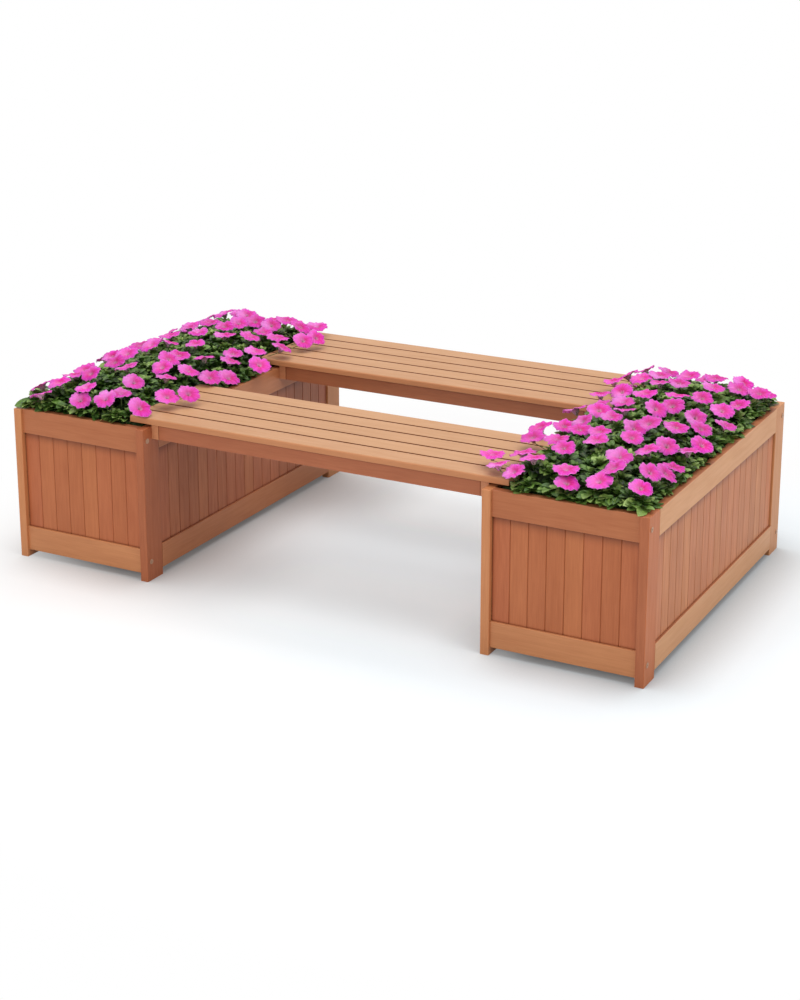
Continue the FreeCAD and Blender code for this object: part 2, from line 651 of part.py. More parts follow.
def add_planter(side):
    """Every piece of one planter. The right one's woodwork is the left one's, mirrored."""
    mid_x = PLANTER_WIDTH / 2
    mid_y = PLANTER_LENGTH / 2

    def place(piece):
        return piece if side == "left" else flip_x(piece, OVERALL_LENGTH / 2)

    def add_wood(name, solids):
        add(name, [place(solid) for solid in solids])

    leg_places = ("front_outer", "rear_outer", "front_inner", "rear_inner")
    for leg_place, piece in zip(leg_places, at_each_corner(leg())):
        add_wood(f"{side}_{leg_place}_leg", [piece])

    bolts_both_seats = seat_bolts() + [flip_y(bolt, mid_y) for bolt in seat_bolts()]
    for level in ("top", "bottom"):
        is_top = level == "top"
        outer_rail = side_rail(is_top)
        inner_rail = flip_x(outer_rail, mid_x)
        if is_top:
            inner_rail = inner_rail.cut(bolts_both_seats)
        front_rail = end_rail(is_top)
        add_wood(f"{side}_outer_{level}_rail", [outer_rail.cut(both_bearer_screws(mid_x))])
        add_wood(f"{side}_inner_{level}_rail", [inner_rail.cut(both_bearer_screws(mid_x))])
        add_wood(f"{side}_front_{level}_rail", [front_rail])
        add_wood(f"{side}_rear_{level}_rail", [flip_y(front_rail, mid_y)])

    add_wood(f"{side}_outer_boards", side_boards())
    add_wood(f"{side}_inner_boards", [flip_x(board, mid_x) for board in side_boards()])
    add_wood(f"{side}_front_boards", end_boards())
    add_wood(f"{side}_rear_boards", [flip_y(board, mid_y) for board in end_boards()])

    for height in BOLT_HEIGHTS:
        add_wood("corner_bolts", at_each_corner(corner_bolt(height)))
        add_wood("barrel_nuts", at_each_corner(barrel_nut(height)))
    add_wood("bearer_screws", both_bearer_screws(mid_x))
    add_wood(f"{side}_floor_bearers", [bearer(), flip_x(bearer(), mid_x)])
    add_wood(f"{side}_floor_slats", floor_slats())
    add_wood(f"{side}_liner", [liner()])
    add_wood(f"{side}_soil", [soil()])

    seat_side = "right" if side == "left" else "left"
    shift = Vector(0 if side == "left" else RIGHT_PLANTER_X, 0, 0)
    add(f"{side}_foliage", [foliage(seat_side).translated(shift)])
    plan = LEFT_BLOOMS if side == "left" else RIGHT_BLOOMS
    add(f"{side}_blooms", [flower.translated(shift) for flower in blooms(plan, seat_side)])


def both_bearer_screws(mid_x):
    """The screws of a planter's two floor bearers."""
    outer = bearer_screws()
    return outer + [flip_x(screw, mid_x) for screw in outer]


def add_seat(name):
    """Every piece of one seat. The rear one is the front one, mirrored."""

    def place(piece):
        return piece if name == "front_seat" else flip_y(piece, PLANTER_LENGTH / 2)

    def add_piece(node, solids):
        add(node, [place(solid) for solid in solids])

    end_rail_left = seat_end_rail()
    bolts = seat_bolts()
    mid_x = OVERALL_LENGTH / 2
    add_piece(f"{name}_slats", slats())
    add_piece(f"{name}_aprons", aprons())
    add_piece(f"{name}_left_rail", [end_rail_left])
    add_piece(f"{name}_middle_rail", [seat_middle_rail()])
    add_piece(f"{name}_right_rail", [flip_x(end_rail_left, mid_x)])
    add_piece("slat_screws", slat_screws())
    add_piece("seat_bolts", bolts + [flip_x(bolt, mid_x) for bolt in bolts])


add_planter("left")
add_planter("right")
add_seat("front_seat")
add_seat("rear_seat")

os.makedirs("parts", exist_ok=True)
for name, solids in nodes.items():
    shape = solids[0] if len(solids) == 1 else Part.makeCompound(solids)
    shape.exportStep(f"parts/{name}.step")
print(len(nodes), "nodes,", sum(len(solids) for solids in nodes.values()), "solids")
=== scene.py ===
import bpy
import math
import numpy as np
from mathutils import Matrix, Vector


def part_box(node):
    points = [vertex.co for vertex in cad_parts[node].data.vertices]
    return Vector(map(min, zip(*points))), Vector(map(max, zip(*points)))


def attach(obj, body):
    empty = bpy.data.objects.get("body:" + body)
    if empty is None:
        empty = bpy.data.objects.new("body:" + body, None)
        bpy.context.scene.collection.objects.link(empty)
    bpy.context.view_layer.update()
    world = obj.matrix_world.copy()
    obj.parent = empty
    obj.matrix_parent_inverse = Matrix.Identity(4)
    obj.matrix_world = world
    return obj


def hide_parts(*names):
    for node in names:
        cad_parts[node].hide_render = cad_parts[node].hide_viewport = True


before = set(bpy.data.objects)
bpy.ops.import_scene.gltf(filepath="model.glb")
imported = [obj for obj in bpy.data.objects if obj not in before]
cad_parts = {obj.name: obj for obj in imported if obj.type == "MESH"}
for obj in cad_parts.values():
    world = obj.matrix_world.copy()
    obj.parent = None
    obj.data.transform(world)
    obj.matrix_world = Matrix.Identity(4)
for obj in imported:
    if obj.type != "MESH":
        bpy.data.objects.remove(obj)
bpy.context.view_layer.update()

# The camera stands to the front right, at the photograph's height and turn. Its lens and place were
# fitted to the edges of the woodwork. The image is 1000 pixels high, and the lens's axis meets it at
# row 350.
IMAGE_HEIGHT = 1000
FOCAL_PIXELS = 1933.0
AXIS_ROW = 350
SENSOR_WIDTH = 36
CAMERA_PLACE = (2.2183, -4.1953, 1.8448)
CAMERA_TURN = 27.906
CAMERA_DOWN = 15.30
camera_data = bpy.data.cameras.new("camera")
camera_data.sensor_width = SENSOR_WIDTH
camera_data.lens = FOCAL_PIXELS / IMAGE_HEIGHT * SENSOR_WIDTH
camera_data.shift_y = (AXIS_ROW - IMAGE_HEIGHT / 2) / IMAGE_HEIGHT
camera_data.clip_end = 100
camera = bpy.data.objects.new("camera", camera_data)
camera.location = CAMERA_PLACE
camera.rotation_euler = (math.radians(90 - CAMERA_DOWN), 0, math.radians(CAMERA_TURN))
bpy.context.scene.collection.objects.link(camera)
bpy.context.scene.camera = camera
bpy.context.scene.view_settings.view_transform = "Standard"

# Floor: a plain white studio floor that runs far past the object. Near the object it is matt and keeps
# the soft grey shadow of the planters and seats, and further out it fades to pure white. Under the
# bench it is a little blue, to balance the light that the red wood throws on it, and close to the
# planters' feet its colour takes painted shade, darker the more the planters close it in.
WHITE = (1, 1, 1, 1)
FLOOR_REACH = 40
FLOOR_MIDDLE = (0.5, 0.0, 0.0)
FLOOR_COLOUR = (0.825, 0.825, 0.825)
UNDER_COLOUR = (0.765, 0.828, 0.862)
UNDER_FADE = (0.6, 1.2)
FLOOR_FADE = (1.15, 1.8)
CONTACT_REACH = 0.15
CONTACT_OPEN = 0.5
CONTACT_SHADE = 0.60
# For the camera the floor glows a little, and more under the seats, where the glow is painted light
# that lifts the seats' shadow. That glow rises and falls again with the distance from the bench's
# middle line, and from left to right.
FLOOR_GLOW = 0.09
FRONT_SEAT_PAINTED_LIGHT = 0.15
REAR_SEAT_PAINTED_LIGHT = 0.29
PAINTED_LIGHT_ACROSS = (0.06, 0.32, 0.46, 0.66)
PAINTED_LIGHT_ALONG = (-0.36, -0.06, 0.45, 0.60)


def add_mesh(name, points, faces):
    """A new smooth object from an array of points and one of faces with equal numbers of corners."""
    points = np.asarray(points, dtype=np.float32).reshape(-1, 3)
    faces = np.asarray(faces, dtype=np.int32)
    starts = np.arange(0, faces.size, faces.shape[1], dtype=np.int32)
    mesh = bpy.data.meshes.new(name)
    mesh.vertices.add(len(points))
    mesh.vertices.foreach_set("co", points.ravel())
    mesh.loops.add(faces.size)
    mesh.loops.foreach_set("vertex_index", faces.ravel())
    mesh.polygons.add(len(faces))
    mesh.polygons.foreach_set("loop_start", starts)
    mesh.polygons.foreach_set("use_smooth", np.full(len(faces), True))
    mesh.update(calc_edges=True)
    made = bpy.data.objects.new(name, mesh)
    bpy.context.scene.collection.objects.link(made)
    return made


def new_material(name):
    """An empty node material, with its node tree and output."""
    material = bpy.data.materials.new(name)
    material.use_nodes = True
    tree = material.node_tree
    tree.nodes.clear()
    return material, tree, tree.nodes.new("ShaderNodeOutputMaterial")


def node(tree, kind, inputs=None, **settings):
    """Adds a node, sets its settings, and sets or links its inputs by name or number."""
    made = tree.nodes.new(kind)
    for key, value in settings.items():
        setattr(made, key, value)
    for key, value in (inputs or {}).items():
        if isinstance(value, bpy.types.NodeSocket):
            tree.links.new(value, made.inputs[key])
        else:
            made.inputs[key].default_value = value
    return made


def maths(tree, operation, *values):
    """The result of a Math node on one to three values."""
    return node(tree, "ShaderNodeMath", dict(enumerate(values)), operation=operation).outputs[0]


def product(tree, *values):
    """The product of several values."""
    result = values[0]
    for value in values[1:]:
        result = maths(tree, "MULTIPLY", result, value)
    return result


def ranged(tree, value, low=0.0, high=1.0, bottom=0.0, top=1.0, way="LINEAR"):
    """Goes from bottom to top while the value goes from low to high, and is level before and after."""
    return node(tree, "ShaderNodeMapRange",
                {"Value": value, "From Min": low, "From Max": high, "To Min": bottom, "To Max": top},
                interpolation_type=way).outputs[0]


def between(tree, value, low, high, bottom=0.0, top=1.0):
    """A smooth step from bottom to top while the value goes from low to high."""
    return ranged(tree, value, low, high, bottom, top, "SMOOTHSTEP")


def plateau(tree, value, low, full, fade, high):
    """0 up to low, 1 from full to fade and 0 from high on, with smooth steps between."""
    return product(tree, between(tree, value, low, full), between(tree, value, fade, high, 1.0, 0.0))


def mixed(tree, share, first, second):
    """The first colour where the share is 0, the second where it is 1. Each is a colour or a socket."""
    ends = {key: colour if isinstance(colour, bpy.types.NodeSocket) else (*colour, 1)
            for key, colour in (("A", first), ("B", second))}
    return node(tree, "ShaderNodeMix", {0: share, **ends}, data_type="RGBA").outputs["Result"]


def backdrop_rays(tree):
    """1 for rays that come from the camera or from a glossy or clear surface, otherwise 0."""
    rays = node(tree, "ShaderNodeLightPath").outputs
    shown = maths(tree, "MAXIMUM", rays["Is Camera Ray"], rays["Is Glossy Ray"])
    return maths(tree, "MAXIMUM", shown, rays["Is Transmission Ray"])


floor = add_mesh(
    "studio_floor",
    [(-FLOOR_REACH, -FLOOR_REACH, 0), (FLOOR_REACH, -FLOOR_REACH, 0),
     (FLOOR_REACH, FLOOR_REACH, 0), (-FLOOR_REACH, FLOOR_REACH, 0)],
    [(0, 1, 2, 3)],
)

floor_material, tree, output = new_material("white_floor")
seen = backdrop_rays(tree)
place = node(tree, "ShaderNodeTexCoord").outputs["Object"]
split = node(tree, "ShaderNodeSeparateXYZ", {0: place})
# painted light under the seats, for the camera alone
painted_seat_light = ranged(tree, split.outputs[1], -PAINTED_LIGHT_ACROSS[1], PAINTED_LIGHT_ACROSS[1],
                   FRONT_SEAT_PAINTED_LIGHT, REAR_SEAT_PAINTED_LIGHT)
off_middle = maths(tree, "ABSOLUTE", split.outputs[1])
painted_light_under_seats = product(tree, painted_seat_light, plateau(tree, off_middle, *PAINTED_LIGHT_ACROSS),
                      plateau(tree, split.outputs[0], *PAINTED_LIGHT_ALONG))
glow_level = product(tree, maths(tree, "ADD", painted_light_under_seats, FLOOR_GLOW), seen)
glow = node(tree, "ShaderNodeEmission", {"Color": WHITE, "Strength": glow_level})
distance = node(tree, "ShaderNodeVectorMath", {0: place, 1: FLOOR_MIDDLE},
                operation="DISTANCE").outputs["Value"]
paint = mixed(tree, between(tree, distance, *UNDER_FADE), UNDER_COLOUR, FLOOR_COLOUR)
# painted shade: the floor's colour darkens where the planters' feet close it in
openness = node(tree, "ShaderNodeAmbientOcclusion", {"Distance": CONTACT_REACH}).outputs["AO"]
painted_contact_shade = ranged(tree, openness, CONTACT_OPEN, 1.0, CONTACT_SHADE, 1.0)
shaded = node(tree, "ShaderNodeVectorMath", {0: paint, "Scale": painted_contact_shade}, operation="SCALE")
matt = node(tree, "ShaderNodeBsdfDiffuse", {"Color": shaded.outputs[0]})
near = node(tree, "ShaderNodeAddShader", {0: matt.outputs[0], 1: glow.outputs[0]})
white = node(tree, "ShaderNodeEmission", {"Color": WHITE, "Strength": 1.0})
far_share = product(tree, between(tree, distance, *FLOOR_FADE), seen)
both = node(tree, "ShaderNodeMixShader", {0: far_share, 1: near.outputs[0], 2: white.outputs[0]})
tree.links.new(both.outputs[0], output.inputs["Surface"])
floor.data.materials.append(floor_material)

# Studio light: a large soft lamp high over the object, smaller ones to the right and in front, and an
# even white room. Together they light an upward face at about its own colour.
WORLD_LEVEL = 0.45
world = bpy.data.worlds.new("studio")
world.use_nodes = True
tree = world.node_tree
tree.nodes.clear()
room = node(tree, "ShaderNodeBackground", {"Color": WHITE, "Strength": WORLD_LEVEL})
backdrop = node(tree, "ShaderNodeBackground", {"Color": WHITE, "Strength": 1.0})
choice = node(tree, "ShaderNodeMixShader",
              {0: backdrop_rays(tree), 1: room.outputs[0], 2: backdrop.outputs[0]})
node(tree, "ShaderNodeOutputWorld", {"Surface": choice.outputs[0]})
bpy.context.scene.world = world


def add_lamp(name, place, target, width, height, power):
    """A rectangular area lamp that faces a point."""
    data = bpy.data.lights.new(name, "AREA")
    data.shape = "RECTANGLE"
    data.size = width
    data.size_y = height
    data.energy = power
    lamp = bpy.data.objects.new(name, data)
    lamp.location = place
    aim = np.array(target, dtype=float) - np.array(place, dtype=float)
    flat = math.hypot(aim[0], aim[1])
    lamp.rotation_euler = (math.atan2(flat, -aim[2]), 0, math.atan2(-aim[0], aim[1]))
    bpy.context.scene.collection.objects.link(lamp)


add_lamp("overhead_lamp", (0.3, 0.2, 5.0), target=(0, 0, 0.3), width=6.0, height=6.0, power=225)
add_lamp("right_lamp", (4.6, -1.4, 2.6), target=(0.2, 0, 0.3), width=2.4, height=2.4, power=38)
add_lamp("front_lamp", (-0.8, -5.2, 2.6), target=(0, 0, 0.3), width=3.0, height=2.4, power=70)

# Woodwork of the planters: oiled red-brown softwood. The legs' grain runs up and down, the rails'
# along the rail, and every board has its own tone. All are bolted or grooved together.
SIDES = ("left", "right")
# the patterns of the grain, how far each is drawn out, and its part in the tone
STREAKS = dict(Scale=430.0, Detail=3.0, Roughness=0.65)
BANDS = dict(Scale=95.0, Detail=2.5, Roughness=0.55, Distortion=0.5)
CLOUDS = dict(Scale=7.0, Detail=2.0)
STREAK_STRETCH = 0.035
BAND_STRETCH = 0.08
STREAK_PART = 0.5
BAND_PART = 0.4
CLOUD_PART = 0.3
TONE_SPREAD = 0.22
# how a board differs from the next: its place in the grain, in metres, and the swing of its hue
BOARD_JUMP = 40.0
HUE_CENTRE = 0.5
HUE_SWING = (-0.020, 0.024)
FACE_TURN = (0.5, 0.8)
CORNER_SHADE = 0.80
WOOD_SPECULAR = 0.35
GLOSS_SWING = (-0.06, 0.12)


def linear(red, green, blue):
    """A display colour from 0 to 255 as the linear colour that a shader takes."""
    values = np.array([red, green, blue]) / 255
    low = values / 12.92
    high = ((values + 0.055) / 1.055) ** 2.4
    return tuple(float(value) for value in np.where(values <= 0.04045, low, high))


def object_place(tree):
    """Places on the object, in metres."""
    return node(tree, "ShaderNodeTexCoord").outputs["Object"]


def noise(tree, place, **settings):
    """Soft noise from 0 to 1 at a place."""
    return node(tree, "ShaderNodeTexNoise", {"Vector": place, **settings}).outputs[0]


def drawn_out(tree, place, along, stretch):
    """A place whose distances along one axis are scaled, so that a pattern is drawn out that way."""
    scale = [1.0, 1.0, 1.0]
    scale[along] = stretch
    return node(tree, "ShaderNodeMapping", {"Vector": place, "Scale": scale}).outputs[0]


def relief(tree, height, strength, distance):
    """A bumpy surface direction from a height."""
    return node(tree, "ShaderNodeBump",
                {"Strength": strength, "Distance": distance, "Height": height}).outputs[0]


def surface(tree, output, colour, roughness, more=None):
    """Leads a principled shader of a colour, a roughness and more inputs to the material's output."""
    shader = node(tree, "ShaderNodeBsdfPrincipled",
                  {"Base Color": colour, "Roughness": roughness, **(more or {})})
    tree.links.new(shader.outputs[0], output.inputs["Surface"])


def wood(name, along, pale, deep, board=None, start=0.0, finish=0.0, seam=None, corners=(), face=None,
         gloss=0.42, figure=1.0, variety=0.16):
    """Oiled wood. The grain is noise drawn out along an axis, fine streaks over broad bands, and the
    weighted sum of both and of faint clouds gives the tone between pale and deep. board is (axis,
    width), counted from start to finish: the grain moves to a new place on each board, and its joints
    are dark, from the first distance in seam to the second and on to the joint's middle, by the share
    in the third. corners is a list of (axis, place, reach): painted shade darkens the wood with the
    square of the nearness to each. face is (axis, tones) for the faces that look along that axis, used
    for end grain and for painted light and shade on faces that the light meets differently. figure is
    the strength of the grain, and variety that of the difference between boards."""
    material, tree, output = new_material(name)
    source = node(tree, "ShaderNodeTexCoord")
    place = source.outputs["Object"]
    split = node(tree, "ShaderNodeSeparateXYZ", {0: place})
    if board:
        axis, width = board
        run = maths(tree, "SUBTRACT", split.outputs[axis], start)
        counted = maths(tree, "DIVIDE", run, width)
        own = node(tree, "ShaderNodeTexWhiteNoise", {"W": maths(tree, "FLOOR", counted)},
                   noise_dimensions="1D")
        jump = node(tree, "ShaderNodeVectorMath", {0: own.outputs["Color"], "Scale": BOARD_JUMP},
                    operation="SCALE")
        place = node(tree, "ShaderNodeVectorMath", {0: place, 1: jump.outputs[0]}).outputs[0]
    streaks = noise(tree, drawn_out(tree, place, along, STREAK_STRETCH), **STREAKS)
    bands = noise(tree, drawn_out(tree, place, along, BAND_STRETCH), **BANDS)
    clouds = noise(tree, place, **CLOUDS)
    parts = [(streaks, STREAK_PART * figure), (bands, BAND_PART * figure), (clouds, CLOUD_PART)]
    if board:
        parts.append((own.outputs["Value"], variety))
    tone = 0.0
    for pattern, part in parts:
        tone = maths(tree, "MULTIPLY_ADD", pattern, part, tone)
    middle = sum(part for pattern, part in parts) / 2
    share = ranged(tree, tone, middle - TONE_SPREAD, middle + TONE_SPREAD)
    shade = mixed(tree, share, pale, deep)
    if board:
        warm = node(tree, "ShaderNodeSeparateXYZ", {0: own.outputs["Color"]}).outputs[1]
        hue = ranged(tree, warm, bottom=HUE_CENTRE + HUE_SWING[0] * variety,
                     top=HUE_CENTRE + HUE_SWING[1] * variety)
        shade = node(tree, "ShaderNodeHueSaturation", {"Hue": hue, "Color": shade}).outputs[0]
    if face:
        towards, face_tones = face
        looks = node(tree, "ShaderNodeSeparateXYZ", {0: source.outputs["Normal"]})
        turned = ranged(tree, maths(tree, "ABSOLUTE", looks.outputs[towards]), *FACE_TURN)
        shade = mixed(tree, turned, shade, mixed(tree, share, *face_tones))
    specular = WOOD_SPECULAR
    if seam:
        edge, full, strength = seam
        part_way = maths(tree, "FRACT", counted)
        off_middle = maths(tree, "ABSOLUTE", maths(tree, "SUBTRACT", part_way, 0.5))
        dark = ranged(tree, off_middle, 0.5 - edge / width, 0.5 - full / width, 0.0, strength)
        dark = product(tree, dark, maths(tree, "GREATER_THAN", run, edge),
                       maths(tree, "LESS_THAN", run, finish - start - edge))
        shade = mixed(tree, dark, shade, JOINT_SHADE)
        specular = maths(tree, "MULTIPLY_ADD", dark, -WOOD_SPECULAR, WOOD_SPECULAR)
    for corner_axis, corner_place, corner_reach in corners:
        off_corner = maths(tree, "SUBTRACT", split.outputs[corner_axis], corner_place)
        off_corner = maths(tree, "ABSOLUTE", off_corner)
        near = ranged(tree, off_corner, 0.0, corner_reach, CORNER_SHADE ** 0.5, 0.0)
        shade = mixed(tree, maths(tree, "POWER", near, 2.0), shade, JOINT_SHADE)
    shine = ranged(tree, bands, bottom=gloss + GLOSS_SWING[0], top=gloss + GLOSS_SWING[1])
    surface(tree, output, shade, shine,
            {"Normal": relief(tree, streaks, strength=0.25, distance=0.0006),
             "Specular IOR Level": specular})
    return material


def dress(names, material):
    """Gives a material to CAD nodes, in every slot that they have."""
    for name in names:
        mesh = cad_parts[name].data
        if not mesh.materials:
            mesh.materials.append(material)
        for slot_number in range(len(mesh.materials)):
            mesh.materials[slot_number] = material


JOINT_SHADE = linear(94, 42, 20)
LEG_RED = (linear(178, 103, 65), linear(157, 86, 51))
LEG_TAN = (linear(207, 139, 90), linear(187, 118, 74))
LEG_LIGHT = (linear(209, 144, 94), linear(192, 127, 80))
LEG_SIDE_PAINTED_LIGHT = (linear(196, 111, 59), linear(178, 97, 50))
leg_red = wood("leg_wood_red", 2, *LEG_RED)
leg_tan = wood("leg_wood_tan", 2, *LEG_TAN)
leg_light = wood("leg_wood_light", 2, *LEG_LIGHT)
dress(["left_front_outer_leg", "right_front_inner_leg", "left_rear_outer_leg"], leg_tan)
dress(["right_rear_outer_leg", "left_rear_inner_leg"], leg_light)
dress(["left_front_inner_leg", "right_rear_inner_leg"], leg_red)
# the right front outer leg's side face takes its own tone: painted light, for how that face looks under
# the lamps
dress(["right_front_outer_leg"], wood("leg_wood_painted_side_light", 2, *LEG_RED, face=(0, LEG_SIDE_PAINTED_LIGHT)))

RAIL_RED = (linear(183, 112, 71), linear(164, 93, 55))
RAIL_TAN = (linear(203, 137, 90), linear(183, 116, 73))
RAIL_BROWN = (linear(194, 127, 83), linear(174, 107, 68))
RAIL_LIGHT = (linear(218, 159, 111), linear(201, 142, 94))
# the rails' top faces take a deeper, redder tone: painted shade of the leaves over them
RIM_PAINTED_SHADE = (linear(182, 114, 76), linear(160, 94, 60))
end_top_rail = wood("end_top_rail_wood", 0, *RAIL_RED, face=(2, RIM_PAINTED_SHADE))
end_bottom_rail = wood("end_bottom_rail_wood", 0, *RAIL_TAN)
side_rail = wood("side_rail_wood", 1, *RAIL_LIGHT, face=(2, RIM_PAINTED_SHADE))
inner_rail = wood("inner_rail_wood", 1, *RAIL_BROWN, face=(2, RIM_PAINTED_SHADE))
for side in SIDES:
    dress([f"{side}_front_top_rail", f"{side}_rear_top_rail"], end_top_rail)
    dress([f"{side}_front_bottom_rail", f"{side}_rear_bottom_rail"], end_bottom_rail)
    dress([f"{side}_outer_top_rail", f"{side}_outer_bottom_rail"], side_rail)
    dress([f"{side}_inner_top_rail", f"{side}_inner_bottom_rail"], inner_rail)

END_BOARDS = 8
SIDE_BOARDS = 19
END_BOARD_TONES = (linear(190, 111, 68), linear(167, 91, 52))
OUTER_BOARD_TONES = (linear(206, 130, 81), linear(176, 103, 60))
# the inner boards' deeper tones are painted shade from the seats
INNER_BOARD_SHADED_TONES = (linear(187, 112, 72), linear(158, 88, 53))
END_SEAM = (0.0016, 0.0005, 0.25)
SIDE_SEAM = (0.0016, 0.0005, 0.62)
LEG_SHADE_REACH = 0.010
BOTTOM_RAIL_SHADE_REACH = 0.007
TOP_RAIL_SHADE_REACH = 0.030
SIDE_FIGURE = 1.3


def panel(boards, axis, count, seam):
    """What wood needs for a panel of boards that stand side by side along an axis. Their joints are
    dark, and painted shade darkens them towards the legs and rails that frame them."""
    low, high = (corner[axis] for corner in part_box(boards))
    corners = [(axis, low, LEG_SHADE_REACH), (axis, high, LEG_SHADE_REACH),
               (2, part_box("left_front_bottom_rail")[1][2], BOTTOM_RAIL_SHADE_REACH),
               (2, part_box("left_front_top_rail")[0][2], TOP_RAIL_SHADE_REACH)]
    return dict(board=(axis, (high - low) / count), start=low, finish=high, seam=seam, corners=corners)


for side in SIDES:
    end_wood = wood(f"{side}_end_board_wood", 2, *END_BOARD_TONES,
                    **panel(f"{side}_front_boards", 0, END_BOARDS, END_SEAM))
    dress([f"{side}_front_boards", f"{side}_rear_boards"], end_wood)
side_panel = panel("left_outer_boards", 1, SIDE_BOARDS, SIDE_SEAM)
for place, tones in (("outer", OUTER_BOARD_TONES), ("inner", INNER_BOARD_SHADED_TONES)):
    dress([f"{side}_{place}_boards" for side in SIDES],
          wood(f"{place}_board_wood", 2, *tones, figure=SIDE_FIGURE, **side_panel))

# Floor of the planters: rough battens and boards of the same softwood, left without oil.
RAW_WOOD = (linear(196, 164, 122), linear(160, 124, 86))
RAW_GLOSS = 0.6
dress([f"{side}_floor_bearers" for side in SIDES], wood("bearer_wood", 1, *RAW_WOOD, gloss=RAW_GLOSS))
dress([f"{side}_floor_slats" for side in SIDES], wood("floor_slat_wood", 0, *RAW_WOOD, gloss=RAW_GLOSS))

# Seats: slats of the same oiled wood, planed smooth, screwed from below to a frame of two aprons and
# three cross rails, which is bolted between the planters. The slats' side faces take a deeper, redder
# tone than their tops: painted shade.
SEATS = ("front_seat", "rear_seat")
SLAT_PITCH = 0.064
SLAT_GAP = 0.004
SLAT_GLOSS = 0.46
SLAT_VARIETY = 0.08
# the slats darken at their edges by the gaps between them: painted shade
SLAT_EDGE_PAINTED_SHADE = (0.0038, 0.0026, 0.95)
SLAT_TONES = (linear(199, 149, 107), linear(179, 130, 90))
# painted shade on the slats' side faces
SLAT_SIDE_PAINTED_SHADE = (linear(197, 132, 88), linear(181, 119, 77))
APRON_JOINT = (0.0026, 0.0014, 0.75)
APRON_SHADE_REACH = 0.009
FRONT_APRON_TONES = (linear(176, 103, 68), linear(155, 84, 53))
# the rear apron's deeper tones are painted shade under the rear seat
REAR_APRON_SHADED_TONES = (linear(168, 101, 67), linear(148, 84, 54))
END_GRAIN = (linear(206, 140, 98), linear(184, 120, 82))
for seat, apron_tones in zip(SEATS, (FRONT_APRON_TONES, REAR_APRON_SHADED_TONES)):
    low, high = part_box(f"{seat}_slats")
    slat_wood = wood(f"{seat}_slat_wood", 0, *SLAT_TONES, board=(1, SLAT_PITCH),
                     start=low[1] - SLAT_GAP / 2, finish=high[1] + SLAT_GAP / 2, seam=SLAT_EDGE_PAINTED_SHADE,
                     face=(1, SLAT_SIDE_PAINTED_SHADE), gloss=SLAT_GLOSS, variety=SLAT_VARIETY)
    dress([f"{seat}_slats"], slat_wood)
    # counted as the middle one of three, an apron has a joint at each of its ends
    low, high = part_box(f"{seat}_aprons")
    length = high[0] - low[0]
    # the apron darkens towards its top edge, under the slats: painted shade
    apron_wood = wood(f"{seat}_apron_wood", 0, *apron_tones, board=(0, length), start=low[0] - length,
                      finish=high[0] + length, seam=APRON_JOINT,
                      corners=[(2, high[2], APRON_SHADE_REACH)])
    dress([f"{seat}_aprons"], apron_wood)
cross_wood = wood("cross_rail_wood", 1, *FRONT_APRON_TONES, face=(1, END_GRAIN))
dress([f"{seat}_{place}_rail" for seat in SEATS for place in ("left", "middle", "right")], cross_wood)

# Fasteners: zinc-plated steel bolts, barrel nuts and wood screws. Only the corner bolts' flat heads
# show, pale against the wood.
STEEL_TONES = (linear(198, 160, 132), linear(170, 132, 106))
STEEL_ROUGHNESS = (0.34, 0.5)
steel, tree, output = new_material("zinc_plated_steel")
mottle = noise(tree, object_place(tree), Scale=900.0, Detail=3.0)
surface(tree, output, mixed(tree, mottle, *STEEL_TONES),
        ranged(tree, mottle, 0.0, 1.0, *STEEL_ROUGHNESS), {"Metallic": 0.6})
dress(["corner_bolts", "barrel_nuts", "seat_bolts", "slat_screws", "bearer_screws"], steel)

# Liner: a bag of black needled felt that stands on the floor slats and holds the soil.
FELT_TONES = ((0.012, 0.012, 0.012), (0.05, 0.05, 0.048))
felt, tree, output = new_material("black_felt")
fibres = noise(tree, object_place(tree), Scale=1400.0, Detail=4.0)
surface(tree, output, mixed(tree, fibres, *FELT_TONES), roughness=0.95,
        more={"Normal": relief(tree, fibres, strength=0.6, distance=0.001)})
dress([f"{side}_liner" for side in SIDES], felt)

# Soil: dark damp potting mix with crumbs of bark, which fills the liner under the leaves.
MIX_TONES = ((0.035, 0.022, 0.014), (0.010, 0.007, 0.005))
MIX_ROUGHNESS = (0.7, 1.0)
mix, tree, output = new_material("potting_mix")
place = object_place(tree)
crumbs = node(tree, "ShaderNodeTexVoronoi", {"Vector": place, "Scale": 160.0}).outputs["Distance"]
damp = noise(tree, place, Scale=40.0, Detail=4.0)
surface(tree, output, mixed(tree, crumbs, *MIX_TONES), ranged(tree, damp, 0.0, 1.0, *MIX_ROUGHNESS),
        {"Normal": relief(tree, crumbs, strength=0.9, distance=0.004)})
dress([f"{side}_soil" for side in SIDES], mix)

# Leaves: a crowned mass of petunia foliage fills each planter from rim to rim. Each leaf is ovate,
# folded along its midrib and bent down at the tip. Most grow in rosettes at the shoots' tips, with
# looser ones between them and over the rims, above a dark sheet that stands for the deeper leaves in
# their shade: painted shade.
LEAF_EDGE = 0.408
LEAF_CROWN = 0.455
LEAF_SHOULDERS = (0.165, 0.160)
LEAF_STATIONS = np.array([0.0, 0.12, 0.3, 0.5, 0.7, 0.88, 1.0])
LEAF_ACROSS = np.array([-1.0, 0.0, 1.0])
LEAF_SKEW = 0.8
LEAF_BLUNTNESS = 0.6
LEAF_FOLD = 0.35
LEAF_DROOP = 0.30
UP = np.array([0.0, 0.0, 1.0])
LEVEL = np.array([1.0, 1.0, 0.0])


